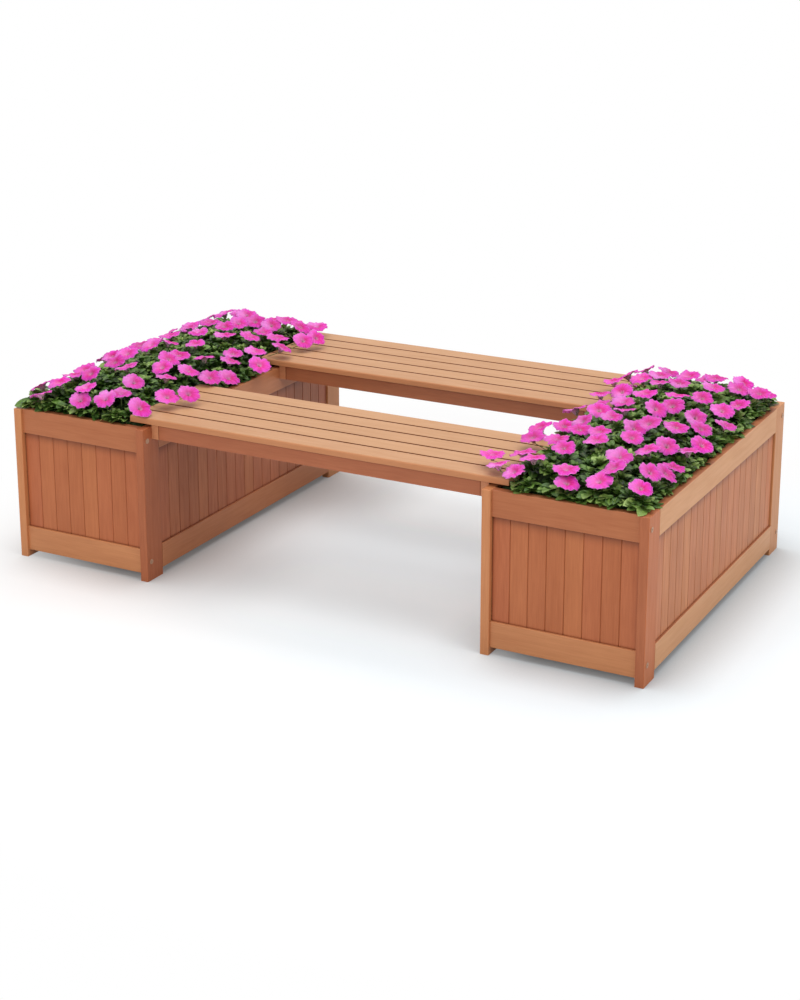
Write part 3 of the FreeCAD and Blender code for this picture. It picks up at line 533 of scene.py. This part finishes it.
def shoulder(distance, run):
    """Height of an arc that rises from the mound's edge and lies level after the given run in."""
    rise = LEAF_CROWN - LEAF_EDGE
    radius = (run ** 2 + rise ** 2) / (2 * rise)
    inward = np.clip(run - distance, 0, run)
    return LEAF_CROWN - radius + np.sqrt(radius ** 2 - inward ** 2)


def mound(x, y, low, high):
    """Height of the leaves over a point: the lower of the two shoulders' arcs, across and along."""
    from_side = np.minimum(x - low[0], high[0] - x)
    from_end = np.minimum(y - low[1], high[1] - y)
    return np.minimum(shoulder(from_side, LEAF_SHOULDERS[0]), shoulder(from_end, LEAF_SHOULDERS[1]))


def unit(vectors):
    """Each row divided by its length."""
    return vectors / np.maximum(np.linalg.norm(vectors, axis=-1, keepdims=True), 1e-9)


def each(values):
    """One value or one direction for each of many copies, shaped to meet their grids of points."""
    return values[:, None, None, :] if values.ndim == 2 else values[:, None, None]


def leaf_points(base, heading, lift, roll, length, half_width):
    """Points of many leaves at once. Along a leaf the middle line bends down with the square of the
    distance, the width follows a skewed sine, and both halves rise from the midrib as a shallow V."""
    along = LEAF_STATIONS[None, :, None]
    across = LEAF_ACROSS[None, None, :]
    outline = np.sin(np.pi * LEAF_STATIONS ** LEAF_SKEW) ** LEAF_BLUNTNESS
    outline[-1] = 0.0
    width = outline[None, :, None] * each(half_width)
    forward = along * each(length) * np.ones_like(across)
    sideways = across * width
    upward = LEAF_FOLD * np.abs(across) * width - LEAF_DROOP * along ** 2 * each(length)
    turn_x, turn_y, nothing = np.cos(heading), np.sin(heading), np.zeros(len(base))
    flat = np.stack([turn_x, turn_y, nothing], axis=1)
    beside = np.stack([-turn_y, turn_x, nothing], axis=1)
    tip_way = flat * np.cos(lift)[:, None] + UP * np.sin(lift)[:, None]
    face_way = UP * np.cos(lift)[:, None] - flat * np.sin(lift)[:, None]
    side_way = beside * np.cos(roll)[:, None] + face_way * np.sin(roll)[:, None]
    face_way = np.cross(tip_way, side_way)
    return (each(base) + forward[..., None] * each(tip_way) + sideways[..., None] * each(side_way)
            + upward[..., None] * each(face_way))


def grid_faces(rows, columns, copies, wrap=False, close=False):
    """Faces of copies of a grid of points, each rows by columns, joined round its columns if wrapped
    and from its last row to its first if closed."""
    across = columns if wrap else columns - 1
    row, column = np.meshgrid(np.arange(rows if close else rows - 1), np.arange(across), indexing="ij")
    after, above = (column + 1) % columns, (row + 1) % rows
    faces = np.stack([row * columns + column, row * columns + after,
                      above * columns + after, above * columns + column], axis=-1).reshape(-1, 4)
    return (faces[None] + (np.arange(copies) * rows * columns)[:, None, None]).reshape(-1, 4)


def point_value(made, name, values):
    """Stores one number for each point of a mesh."""
    layer = made.data.attributes.new(name, "FLOAT", "POINT")
    layer.data.foreach_set("value", np.asarray(values, dtype=np.float32).ravel())


def stored_value(tree, name):
    """The number that point_value stored."""
    return node(tree, "ShaderNodeAttribute", attribute_name=name).outputs["Fac"]


def ramp(tree, value, stops):
    """A colour that runs through stops of (value, colour), the first at 0 and the last at 1."""
    made = node(tree, "ShaderNodeValToRGB", {0: value})
    elements = made.color_ramp.elements
    elements[0].color, elements[1].color = (*stops[0][1], 1), (*stops[-1][1], 1)
    for position, colour in stops[1:-1]:
        elements.new(position).color = (*colour, 1)
    return made.outputs[0]


LEAF_TONES = ((0.0, linear(30, 57, 12)), (0.35, linear(62, 97, 28)), (0.6, linear(94, 128, 48)),
              (0.82, linear(126, 154, 72)), (1.0, linear(156, 180, 102)))
LEAF_VEIN = linear(150, 176, 112)
VEIN_REACH = 0.25
VEIN_SHARE = 0.35
BASE_TO_TIP_TONE = (-0.22, 0.06)
BLOTCH_RANGE = (0.3, 0.7)
BLOTCH_LEVEL = (0.75, 1.2)
green, tree, output = new_material("petunia_leaf")
paler = ranged(tree, stored_value(tree, "leaf_along"), 0.0, 1.0, *BASE_TO_TIP_TONE)
toned = ramp(tree, maths(tree, "ADD", stored_value(tree, "leaf_tone"), paler), LEAF_TONES)
vein = ranged(tree, stored_value(tree, "leaf_across"), 0.0, VEIN_REACH, VEIN_SHARE, 0.0)
blotch = noise(tree, object_place(tree), Scale=190.0, Detail=3.0)
level = ranged(tree, blotch, *BLOTCH_RANGE, *BLOTCH_LEVEL)
blotched = node(tree, "ShaderNodeHueSaturation",
                {"Color": mixed(tree, vein, toned, LEAF_VEIN), "Value": level})
surface(tree, output, blotched.outputs[0], roughness=0.5,
        more={"Normal": relief(tree, blotch, strength=0.5, distance=0.0012), "Specular IOR Level": 0.4})

SHADED_TONES = (linear(50, 76, 26), linear(24, 42, 12))
# painted shade: a dark sheet that stands for the shade deep in the foliage
dark, tree, output = new_material("shaded_leaf_mass")
clumps = node(tree, "ShaderNodeTexVoronoi", {"Vector": object_place(tree), "Scale": 70.0})
surface(tree, output, mixed(tree, clumps.outputs["Distance"], *SHADED_TONES), roughness=0.8)

RIM_HEIGHT = 0.400
RIM_TOP = 0.4015
SEAT_TOP = 0.4245
seat_boxes = [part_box(f"{seat}_slats") for seat in SEATS]


def over_seat(x, y, margin):
    """True for points over the end of a seat, or within a margin of it."""
    covered = np.zeros(np.shape(x), dtype=bool)
    for low, high in seat_boxes:
        covered |= ((x > low[0] - margin) & (x < high[0] + margin)
                    & (y > low[1] - margin) & (y < high[1] + margin))
    return covered


LEAF_SEED = 11
MASS_STEP = 0.008
MASS_INSET = 0.001
MASS_DEPTH = 0.019
MASS_BUMP = 0.004
MASS_WAVES = (210, 190)
MASS_BENDS = (95, 110)
MASS_ROUGHNESS = 0.6
MASS_BOTTOM = 0.380
MASS_SEAT_GAP = 0.006
MASS_UNDER_SEAT = 0.401
# rosettes: heights are over the mound, lifts in degrees, and tones run from 0, dark, to 1, pale
ROSETTE_PITCH = 0.037
LEAVES_IN_ROSETTE = 15
GOLDEN_TURN = np.pi * (3 - np.sqrt(5))
HEART_SHAKE = 0.4
HEART_INSET = 0.003
HEART_HEIGHT = (-0.009, 0.007)
HEART_TONE = (0.08, 0.76)
INNER_TONE = 0.24
TONE_SHAKE = 0.12
HEADING_SHAKE = 0.2
INNER_LIFT = 70
LIFT_FALL = 64
LIFT_SHAKE = 9
INNER_LENGTH = 0.014
LENGTH_GAIN = 0.016
LENGTH_RANGE = (0.8, 1.2)
INNER_OUT = 0.001
OUT_GAIN = 0.004
OUTER_DROP = 0.012
# loose leaves, and those of the rims, whose lengths differ from rim to rim
LOOSE_LEAVES = 1200
LOOSE_HEIGHT = (-0.020, -0.004)
LOOSE_LIFT = (0, 45)
LOOSE_LENGTH = (0.018, 0.027)
# the loose leaves' tones run darker: painted shade low in the foliage
LOOSE_SHADED_TONE = (0.0, 0.45)
RIM_LEAVES = 800
RIM_INSET = (-0.001, 0.010)
RIM_LEAF_HEIGHT = (-0.004, 0.005)
RIM_LIFT = (0, 36)
RIM_TURN_SHAKE = 0.85
RIM_LENGTH_RANGE = (0.45, 1.15)
RIM_TONE = (0.15, 0.95)
FRONT_LEAF = 0.031
REAR_LEAF = 0.028
OUTER_LEAF = {"left": 0.038, "right": 0.021}
INNER_LEAF = 0.026
LEAF_WIDTH = (0.30, 0.42)
LEAF_ROLL = 0.3
# clearances from the seats
SEAT_GAP = 0.003
RIM_SEAT_GAP = {"left": 0.022, "right": 0.003}
LOW_ROOT = 0.420
TOUCH = 0.001
for number, side in enumerate(SIDES):
    chance = np.random.default_rng(LEAF_SEED + number)
    low, high = (np.array(corner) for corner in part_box(f"{side}_foliage"))
    size = high - low

    # the dark mass stands for the deeper leaves in their shade, as painted shade: a bumpy sheet a
    # little under the leaves, closed by a wall and a flat bottom
    columns, rows = (int(run / MASS_STEP) + 1 for run in size[:2])
    xs = np.linspace(low[0] + MASS_INSET, high[0] - MASS_INSET, columns)
    ys = np.linspace(low[1] + MASS_INSET, high[1] - MASS_INSET, rows)
    grid_y, grid_x = np.meshgrid(ys, xs, indexing="ij")
    bumps = (np.sin(grid_x * MASS_WAVES[0] + 2 * np.sin(grid_y * MASS_BENDS[0]))
             * np.sin(grid_y * MASS_WAVES[1] + 2 * np.sin(grid_x * MASS_BENDS[1]))
             + chance.uniform(-MASS_ROUGHNESS, MASS_ROUGHNESS, grid_x.shape))
    top = mound(grid_x, grid_y, low, high) - MASS_DEPTH + MASS_BUMP * bumps
    top = np.where(over_seat(grid_x, grid_y, MASS_SEAT_GAP), np.minimum(top, MASS_UNDER_SEAT), top)
    top_points = np.stack([grid_x, grid_y, top], axis=-1).reshape(-1, 3)
    bottom_points = top_points * LEVEL + UP * MASS_BOTTOM
    count = rows * columns
    top_faces = grid_faces(rows, columns, 1)
    rim = np.concatenate([np.arange(columns), np.arange(1, rows) * columns + columns - 1,
                          count - 2 - np.arange(columns - 1), np.arange(rows - 2, 0, -1) * columns])
    after = np.roll(rim, -1)
    wall = np.stack([rim, rim + count, after + count, after], axis=1)
    mass = add_mesh(f"{side}_leaf_mass", np.concatenate([top_points, bottom_points]),
                    np.concatenate([top_faces, top_faces[:, ::-1] + count, wall]))
    mass.data.materials.append(dark)
    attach(mass, "root")
    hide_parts(f"{side}_foliage")

    # rosettes stand on a shaken grid, inner leaves short and steep, outer ones long and nearly level
    across, along = (int(round(float(run) / ROSETTE_PITCH)) for run in size[:2])
    hearts = across * along
    grid_x, grid_y = np.meshgrid((np.arange(across) + 0.5) / across, (np.arange(along) + 0.5) / along)
    shake_x, shake_y = chance.uniform(-HEART_SHAKE, HEART_SHAKE, (2, hearts)) * ROSETTE_PITCH
    heart_x = low[0] + size[0] * grid_x.ravel() + shake_x
    heart_y = low[1] + size[1] * grid_y.ravel() + shake_y
    heart_x = np.clip(heart_x, low[0] + HEART_INSET, high[0] - HEART_INSET)
    heart_y = np.clip(heart_y, low[1] + HEART_INSET, high[1] - HEART_INSET)
    heart_z = mound(heart_x, heart_y, low, high) + chance.uniform(*HEART_HEIGHT, hearts)
    rank = np.tile((np.arange(LEAVES_IN_ROSETTE) + 0.5) / LEAVES_IN_ROSETTE, hearts)
    heading = (np.tile(np.arange(LEAVES_IN_ROSETTE) * GOLDEN_TURN, hearts)
               + np.repeat(chance.uniform(0, 2 * np.pi, hearts), LEAVES_IN_ROSETTE)
               + chance.normal(0, HEADING_SHAKE, len(rank)))
    lift = np.radians(INNER_LIFT - LIFT_FALL * rank + chance.normal(0, LIFT_SHAKE, len(rank)))
    length = (INNER_LENGTH + LENGTH_GAIN * rank) * chance.uniform(*LENGTH_RANGE, len(rank))
    out = INNER_OUT + OUT_GAIN * rank
    x = np.repeat(heart_x, LEAVES_IN_ROSETTE) + np.cos(heading) * out
    y = np.repeat(heart_y, LEAVES_IN_ROSETTE) + np.sin(heading) * out
    z = np.repeat(heart_z, LEAVES_IN_ROSETTE) - OUTER_DROP * rank
    tone = (np.repeat(chance.uniform(*HEART_TONE, hearts), LEAVES_IN_ROSETTE)
            + INNER_TONE * (1 - rank) + chance.normal(0, TONE_SHAKE, len(rank)))

    # loose leaves lie lower between the rosettes, and the rims' leaves lean out over the rails, at
    # places met on a walk round the rim from its front left corner
    loose_x = chance.uniform(low[0], high[0], LOOSE_LEAVES)
    loose_y = chance.uniform(low[1], high[1], LOOSE_LEAVES)
    loose_z = mound(loose_x, loose_y, low, high) + chance.uniform(*LOOSE_HEIGHT, LOOSE_LEAVES)
    front_end, right_end, rear_end = size[0], size[0] + size[1], 2 * size[0] + size[1]
    walk = chance.uniform(0, 2 * (size[0] + size[1]), RIM_LEAVES)
    edges = [walk < front_end, walk < right_end, walk < rear_end]
    rim_x = np.select(edges, [low[0] + walk, high[0], high[0] - (walk - right_end)], low[0])
    rim_y = np.select(edges, [low[1], low[1] + walk - front_end, high[1]], high[1] - (walk - rear_end))
    out_way = np.select(edges, [-np.pi / 2, 0.0, np.pi / 2], np.pi)
    right_leaf, left_leaf = ((OUTER_LEAF[side], INNER_LEAF) if side == "right"
                             else (INNER_LEAF, OUTER_LEAF[side]))
    rim_length = np.select(edges, [FRONT_LEAF, right_leaf, REAR_LEAF], left_leaf)
    inset = chance.uniform(*RIM_INSET, RIM_LEAVES)
    rim_x = rim_x - np.cos(out_way) * inset
    rim_y = rim_y - np.sin(out_way) * inset
    rim_z = mound(rim_x, rim_y, low, high) + chance.uniform(*RIM_LEAF_HEIGHT, RIM_LEAVES)
    x, y, z = (np.concatenate(parts)
               for parts in ((x, loose_x, rim_x), (y, loose_y, rim_y), (z, loose_z, rim_z)))
    heading = np.concatenate([heading, chance.uniform(0, 2 * np.pi, LOOSE_LEAVES),
                              out_way + chance.normal(0, RIM_TURN_SHAKE, RIM_LEAVES)])
    lift = np.concatenate([lift, np.radians(chance.uniform(*LOOSE_LIFT, LOOSE_LEAVES)),
                           np.radians(chance.uniform(*RIM_LIFT, RIM_LEAVES))])
    length = np.concatenate([length, chance.uniform(*LOOSE_LENGTH, LOOSE_LEAVES),
                             rim_length * chance.uniform(*RIM_LENGTH_RANGE, RIM_LEAVES)])
    tone = np.concatenate([tone, chance.uniform(*LOOSE_SHADED_TONE, LOOSE_LEAVES),
                           chance.uniform(*RIM_TONE, RIM_LEAVES)])
    half_width = length * chance.uniform(*LEAF_WIDTH, len(x))
    roll = chance.normal(0, LEAF_ROLL, len(x))

    # a leaf that would cut into a seat is left out, and one that leans over a rail lies on top of it
    tip_x = x + np.cos(heading) * np.cos(lift) * length
    tip_y = y + np.sin(heading) * np.cos(lift) * length
    seat_gap = np.repeat([SEAT_GAP, RIM_SEAT_GAP[side]], [len(x) - RIM_LEAVES, RIM_LEAVES])
    kept = ~(over_seat(x, y, seat_gap) & (z > RIM_HEIGHT)
             | over_seat(tip_x, tip_y, 0.0) & (z < LOW_ROOT))
    base = np.stack([x, y, z], axis=1)[kept]
    points = leaf_points(base, heading[kept], lift[kept], roll[kept], length[kept], half_width[kept])
    beyond = ((points[..., 0] < low[0]) | (points[..., 0] > high[0])
              | (points[..., 1] < low[1]) | (points[..., 1] > high[1]))
    points[..., 2] = np.where(beyond, np.maximum(points[..., 2], RIM_TOP), points[..., 2])
    in_seat = over_seat(points[..., 0], points[..., 1], TOUCH) & (points[..., 2] < SEAT_TOP)
    clear = ~in_seat.any(axis=(1, 2))
    points, tone = points[clear], tone[kept][clear]
    leaf_rows, leaf_columns = len(LEAF_STATIONS), len(LEAF_ACROSS)
    leaves = add_mesh(f"{side}_leaves", points,
                      grid_faces(leaf_rows, leaf_columns, len(points))[:, ::-1])
    point_value(leaves, "leaf_tone", np.repeat(np.clip(tone, 0, 1), leaf_rows * leaf_columns))
    point_value(leaves, "leaf_across", np.tile(np.abs(LEAF_ACROSS), leaf_rows * len(points)))
    point_value(leaves, "leaf_along", np.tile(np.repeat(LEAF_STATIONS, leaf_columns), len(points)))
    leaves.data.materials.append(green)
    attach(leaves, "root")
    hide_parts(f"{side}_foliage")

# Flowers: petunias, each a pale funnel that opens into five broad ruffled lobes of hot pink with
# darker veins, on a thin green stem with a five-pointed calyx. They stand where the solids do, and
# their necks turn most of them up and towards the light at the front right.
LOBES = 5
PETAL_TURNS = 60
LIMB_ROWS = np.array([0.0, 0.08, 0.18, 0.32, 0.5, 0.68, 0.85, 1.0])
LIMB_FACE = 0.0003
LIMB_GROWTH = 1.03
THROAT_RADIUS = 0.0017
THROAT_DEPTH = 0.012
FUNNEL_DEPTH = 0.018
FUNNEL_SWELL = 0.0022
PETAL_THICKNESS = 0.0005
# the waves of a limb's edge and of its face, each (height, number round the flower, share of phase)
EDGE_WAVES = ((0.016, 7, 1.0), (0.020, 12, 1.9), (0.045, 19, 3.1))
RUFFLES = ((0.04, 6, 1.0), (0.04, 11, 2.3), (0.07, 2, 1.7))
CROWN = 0.07
LIP_DROOP = 0.10
LOBE_POWER = 0.35
REACH_POWER = 1.1
DIVE_POWER = 3.2
RUFFLE_POWER = 2.5


def flowers_in(name):
    """Root, limb centre, axis and radius of every flower solid in a CAD node. Triangles that share a
    corner belong to one flower. Its axis is the odd one of its points' three principal directions."""
    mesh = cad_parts[name].data
    points = np.empty(len(mesh.vertices) * 3, dtype=np.float32)
    mesh.vertices.foreach_get("co", points)
    corners = np.empty(len(mesh.loops), dtype=np.int32)
    mesh.loops.foreach_get("vertex_index", corners)
    microns = np.round(points.reshape(-1, 3).astype(float) * 1e6).astype(np.int64)
    places, merged = np.unique(microns, axis=0, return_inverse=True)
    places = places / 1e6
    triangles = merged.ravel()[corners].reshape(-1, 3)
    label = np.arange(len(places))
    while True:
        least = label[triangles].min(axis=1)
        fresh = label.copy()
        for corner in range(3):
            np.minimum.at(fresh, triangles[:, corner], least)
        if np.array_equal(fresh, label):
            break
        label = fresh
    found = []
    for group in np.unique(label):
        cloud = places[label == group]
        middle = cloud.mean(axis=0)
        sizes, ways = np.linalg.eigh(np.cov((cloud - middle).T))
        odd = 0 if sizes[1] - sizes[0] > sizes[2] - sizes[1] else 2
        axis = ways[:, odd] * np.sign(ways[2, odd])
        height = (cloud - middle) @ axis
        upper = height > height.max() - LIMB_FACE
        centre = cloud[upper].mean(axis=0)
        radius = np.linalg.norm(cloud[upper] - centre, axis=1).max()
        found.append((cloud[height.argmin()], centre, axis, radius))
    return [np.array(column) for column in zip(*found)]


def waves(turn, phase, table):
    """The sum of the sine waves in a table, for angles round a flower."""
    return sum(height * np.sin(count * turn + share * phase) for height, count, share in table)


def limb(turn, reach, radius, phase, notch, depth):
    """A flower's face for angles round it and reaches from 0 in the throat to 1 at the edge: distance
    from the axis and height above the limb's plane. The edge has five lobes with narrow notches and a
    few small waves. The face dives to the depth with a power of the distance from the edge, each
    lobe is crowned, ruffles of several short waves grow towards the edge, and the lip droops."""
    lobe = np.cos(LOBES / 2 * turn)
    edge = radius * (LIMB_GROWTH - notch + notch * np.abs(lobe) ** LOBE_POWER
                     + waves(turn, phase, EDGE_WAVES))
    aside = THROAT_RADIUS + (edge - THROAT_RADIUS) * reach ** REACH_POWER
    dive = -depth * (1 - reach) ** DIVE_POWER
    crown = CROWN * radius * reach * (lobe ** 2 - 0.5)
    ruffle = radius * reach ** RUFFLE_POWER * waves(turn, phase, RUFFLES)
    return aside, dive + crown + ruffle - LIP_DROOP * radius * reach ** 3


def around(angle, right_way, far_way):
    """Directions at angles round each flower's axis, from its two sideways directions."""
    return np.cos(angle)[..., None] * each(right_way) + np.sin(angle)[..., None] * each(far_way)


# the face's colours from the throat, at 0, to the edge, at 0.5, and on down the outside. The deep ring
# round the throat is partly the flower's own colour and partly painted shade inside the funnel, and the
# pale band at the edge is a painted highlight on the lip
PETAL_TONES_AND_PAINTED_LIGHT = ((0.0, linear(168, 170, 138)), (0.04, linear(206, 196, 190)),
               (0.09, linear(214, 130, 184)), (0.15, linear(210, 22, 138)),
               (0.32, linear(228, 34, 178)), (0.46, linear(234, 56, 196)),
               (0.50, linear(244, 128, 216)), (0.54, linear(222, 74, 168)),
               (0.74, linear(218, 118, 182)), (0.88, linear(212, 182, 194)),
               (1.0, linear(196, 190, 170)))
PETAL_LINE = linear(196, 14, 104)
PETAL_PALE = linear(240, 138, 220)
THREAD_SCALE = (54.0, 1.4, 1.0)
THREAD_RANGE = (0.46, 0.62)
RIB_RANGE = (0.55, 1.0)
RIB_SHARE = 0.7
LINE_FADE = (0.10, 0.47)
LINE_SHARE = (1.0, 0.4)
FLOWER_LEVEL = (0.82, 1.04)
petal, tree, output = new_material("petunia_petal")
spread = node(tree, "ShaderNodeUVMap", uv_map="petals").outputs[0]
parts = node(tree, "ShaderNodeSeparateXYZ", {0: spread})
turn, reach = parts.outputs[0], parts.outputs[1]
stretch = node(tree, "ShaderNodeMapping", {"Vector": spread, "Scale": THREAD_SCALE})
threads = node(tree, "ShaderNodeTexNoise", {"Vector": stretch.outputs[0], "Scale": 1.0, "Detail": 3.0,
                                            "Roughness": 0.6}, noise_dimensions="2D").outputs[0]
ribs = maths(tree, "COSINE", maths(tree, "MULTIPLY", turn, 2 * math.pi * LOBES))
lines = maths(tree, "MAXIMUM", ranged(tree, ribs, *RIB_RANGE, 0.0, RIB_SHARE),
              ranged(tree, threads, *THREAD_RANGE))
line_share = product(tree, lines, ranged(tree, reach, *LINE_FADE, *LINE_SHARE))
lined = mixed(tree, line_share, ramp(tree, reach, PETAL_TONES_AND_PAINTED_LIGHT), PETAL_LINE)
# paler where the petal's painted light and its random paleness say
faded = mixed(tree, stored_value(tree, "petal_pale_and_painted_light"), lined, PETAL_PALE)
own = node(tree, "ShaderNodeTexWhiteNoise", {"W": maths(tree, "FLOOR", turn)}, noise_dimensions="1D")
own_level = ranged(tree, own.outputs["Value"], 0.0, 1.0, *FLOWER_LEVEL)
own_colour = node(tree, "ShaderNodeHueSaturation", {"Value": own_level, "Color": faded})
surface(tree, output, own_colour.outputs[0], roughness=0.6,
        more={"Normal": relief(tree, threads, strength=0.5, distance=0.0012),
              "Specular IOR Level": 0.3, "Subsurface Weight": 0.5,
              "Subsurface Radius": (1.0, 0.45, 0.8), "Subsurface Scale": 0.003})

STALK_TONES = (linear(104, 132, 66), linear(70, 98, 44))
stalk, tree, output = new_material("petunia_stalk")
sap = noise(tree, object_place(tree), Scale=150.0, Detail=2.0)
surface(tree, output, mixed(tree, sap, *STALK_TONES), roughness=0.55)

FLOWER_SEED = 31
STEEPEST = 0.70
NECK_LEAN = 0.62
NECK_SHAKE = 0.18
UPRIGHT = 0.9
LIGHT_WAY = np.array([0.03, -0.04, 0.0])
NOTCH = (0.08, 0.26)
# each limb is paler towards the left, by a strength of its own: painted light, as if the light fell on
# that side, with a little paleness all over that differs at random from flower to flower
PAINTED_LIGHT_FROM = np.array([-0.9, -0.4, 0.1])
PAINTED_LIGHT_FROM_SHAKE = 0.45
PALE_LEVEL = 0.15
PALE_SWING = 0.85
PALE_STRENGTH = (0.20, 0.85)
PALE_ALL_OVER = 0.12
STEM_SIDES = 6
STEM_STATIONS = 6
STEM_RADIUS = 0.0014
STEM_SAG = 0.003
STEM_ROOT = 0.012
STEM_IN_THROAT = 0.0006
SEPAL_LENGTH = 0.013
SEPAL_HALF_WIDTH = 0.0016
SEPAL_RING = 0.002
SEPAL_DROP = 0.001
SEPAL_LEAN = (0.55, 0.85)
for number, side in enumerate(SIDES):
    chance = np.random.default_rng(FLOWER_SEED + number)
    roots, centres, axes, radii = flowers_in(f"{side}_blooms")
    count = len(roots)
    spin = chance.uniform(0, 2 * np.pi, count)
    phase = chance.uniform(0, 2 * np.pi, count)
    lean = axes * LEVEL / axes[:, 2:3]
    steepness = np.linalg.norm(lean, axis=1, keepdims=True)
    lean = lean * np.minimum(1, STEEPEST / np.maximum(steepness, 1e-6))
    axes = unit(lean * NECK_LEAN + LIGHT_WAY + UP + chance.normal(0, NECK_SHAKE, (count, 3)) * LEVEL)
    helper = np.where(np.abs(axes[:, 2:3]) < UPRIGHT, UP, [[1.0, 0.0, 0.0]])
    right_way = unit(np.cross(helper, axes))
    far_way = np.cross(axes, right_way)

    # rows run from the throat over the edge and down the outside of the funnel, and close on themselves
    turn = np.linspace(0, 2 * np.pi, PETAL_TURNS, endpoint=False)[None, None, :]
    reach = LIMB_ROWS[None, :, None]
    shape = (each(radii), each(phase), each(chance.uniform(*NOTCH, count)))
    aside, height = limb(turn, reach, *shape, THROAT_DEPTH)
    back = reach[:, ::-1]
    outer_aside, outer_height = limb(turn, back, *shape, FUNNEL_DEPTH)
    aside = np.concatenate([aside, outer_aside + FUNNEL_SWELL * (1 - back) ** 2], axis=1)
    height = np.concatenate([height, outer_height - PETAL_THICKNESS], axis=1)
    beside = around(turn + each(spin), right_way, far_way)
    points = each(centres) + aside[..., None] * beside + height[..., None] * each(axes)
    rows = points.shape[1]
    petals = add_mesh(f"{side}_petunias", points,
                      grid_faces(rows, PETAL_TURNS, count, wrap=True, close=True)[:, ::-1])

    # a petal's map has the turn across, with the flower's number added, and the rows from 0 to 1
    row_value = np.concatenate([0.5 * LIMB_ROWS, 1 - 0.5 * LIMB_ROWS[::-1], [1.0]])
    face_row, face_turn = (grid.ravel() for grid in np.meshgrid(np.arange(rows), np.arange(PETAL_TURNS),
                                                                indexing="ij"))
    across = np.stack([face_turn, face_turn + 1, face_turn + 1, face_turn], axis=1)
    upwards = row_value[np.stack([face_row, face_row, face_row + 1, face_row + 1], axis=1)]
    one_flower = np.stack([across / PETAL_TURNS, upwards], axis=-1)[:, ::-1].reshape(-1, 2)
    spread = np.tile(one_flower, (count, 1))
    spread[:, 0] += np.repeat(np.arange(count), len(one_flower))
    petals.data.uv_layers.new(name="petals").data.foreach_set("uv", spread.astype(np.float32).ravel())
    # painted light: each limb is paler on the side that faces the painted light's way
    painted_light_from = unit(PAINTED_LIGHT_FROM + chance.normal(0, PAINTED_LIGHT_FROM_SHAKE, (count, 3)))
    facing = (beside * each(painted_light_from)).sum(axis=-1) * np.ones_like(aside)
    paleness = np.clip(PALE_LEVEL + PALE_SWING * facing, 0, 1)
    paleness = (paleness * each(chance.uniform(*PALE_STRENGTH, count))
                + PALE_ALL_OVER * each(chance.uniform(0, 1, count)))
    point_value(petals, "petal_pale_and_painted_light", paleness)
    petals.data.materials.append(petal)
    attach(petals, "root")
    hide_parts(f"{side}_blooms")

    # a stem bends gently from its root into the funnel's throat, and five sepals stand round its top
    steps = np.linspace(0, 1, STEM_STATIONS)[None, :, None]
    foot = roots - UP * STEM_ROOT
    head = centres - axes * FUNNEL_DEPTH
    throat = centres - axes * (THROAT_DEPTH - STEM_IN_THROAT)
    sag = chance.normal(0, STEM_SAG, (count, 3))
    line = (foot[:, None, :] * (1 - steps) + head[:, None, :] * steps
            + sag[:, None, :] * np.sin(np.pi * steps))
    line = np.concatenate([line, throat[:, None, :]], axis=1)
    stations = line.shape[1]
    ring = np.linspace(0, 2 * np.pi, STEM_SIDES, endpoint=False)[None, None, :]
    tube = line[:, :, None, :] + STEM_RADIUS * around(ring, right_way, far_way)
    ends = np.array([[0, 3, 2, 1], [0, 5, 4, 3]])
    ends = np.concatenate([ends, ends[:, ::-1] + (stations - 1) * STEM_SIDES])
    end_faces = (ends[None] + (np.arange(count) * stations * STEM_SIDES)[:, None, None]).reshape(-1, 4)
    fifths = np.linspace(0, 2 * np.pi, LOBES, endpoint=False)[None, None, :] + each(spin)
    outward = around(fifths, right_way, far_way).reshape(-1, 3)
    out_share, up_share = SEPAL_LEAN
    way = unit(outward * out_share + np.repeat(axes, LOBES, axis=0) * up_share)
    sepal_count = LOBES * count
    sepals = leaf_points(
        np.repeat(head - axes * SEPAL_DROP, LOBES, axis=0) + outward * SEPAL_RING,
        np.arctan2(way[:, 1], way[:, 0]), np.arcsin(way[:, 2]), np.zeros(sepal_count),
        np.full(sepal_count, SEPAL_LENGTH), np.full(sepal_count, SEPAL_HALF_WIDTH))
    sepal_faces = grid_faces(len(LEAF_STATIONS), len(LEAF_ACROSS), sepal_count) + tube.size // 3
    stem_faces = grid_faces(stations, STEM_SIDES, count, wrap=True)
    stems = add_mesh(f"{side}_flower_stems",
                     np.concatenate([tube.reshape(-1, 3), sepals.reshape(-1, 3)]),
                     np.concatenate([stem_faces, end_faces, sepal_faces]))
    stems.data.materials.append(stalk)
    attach(stems, "root")
    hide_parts(f"{side}_blooms")
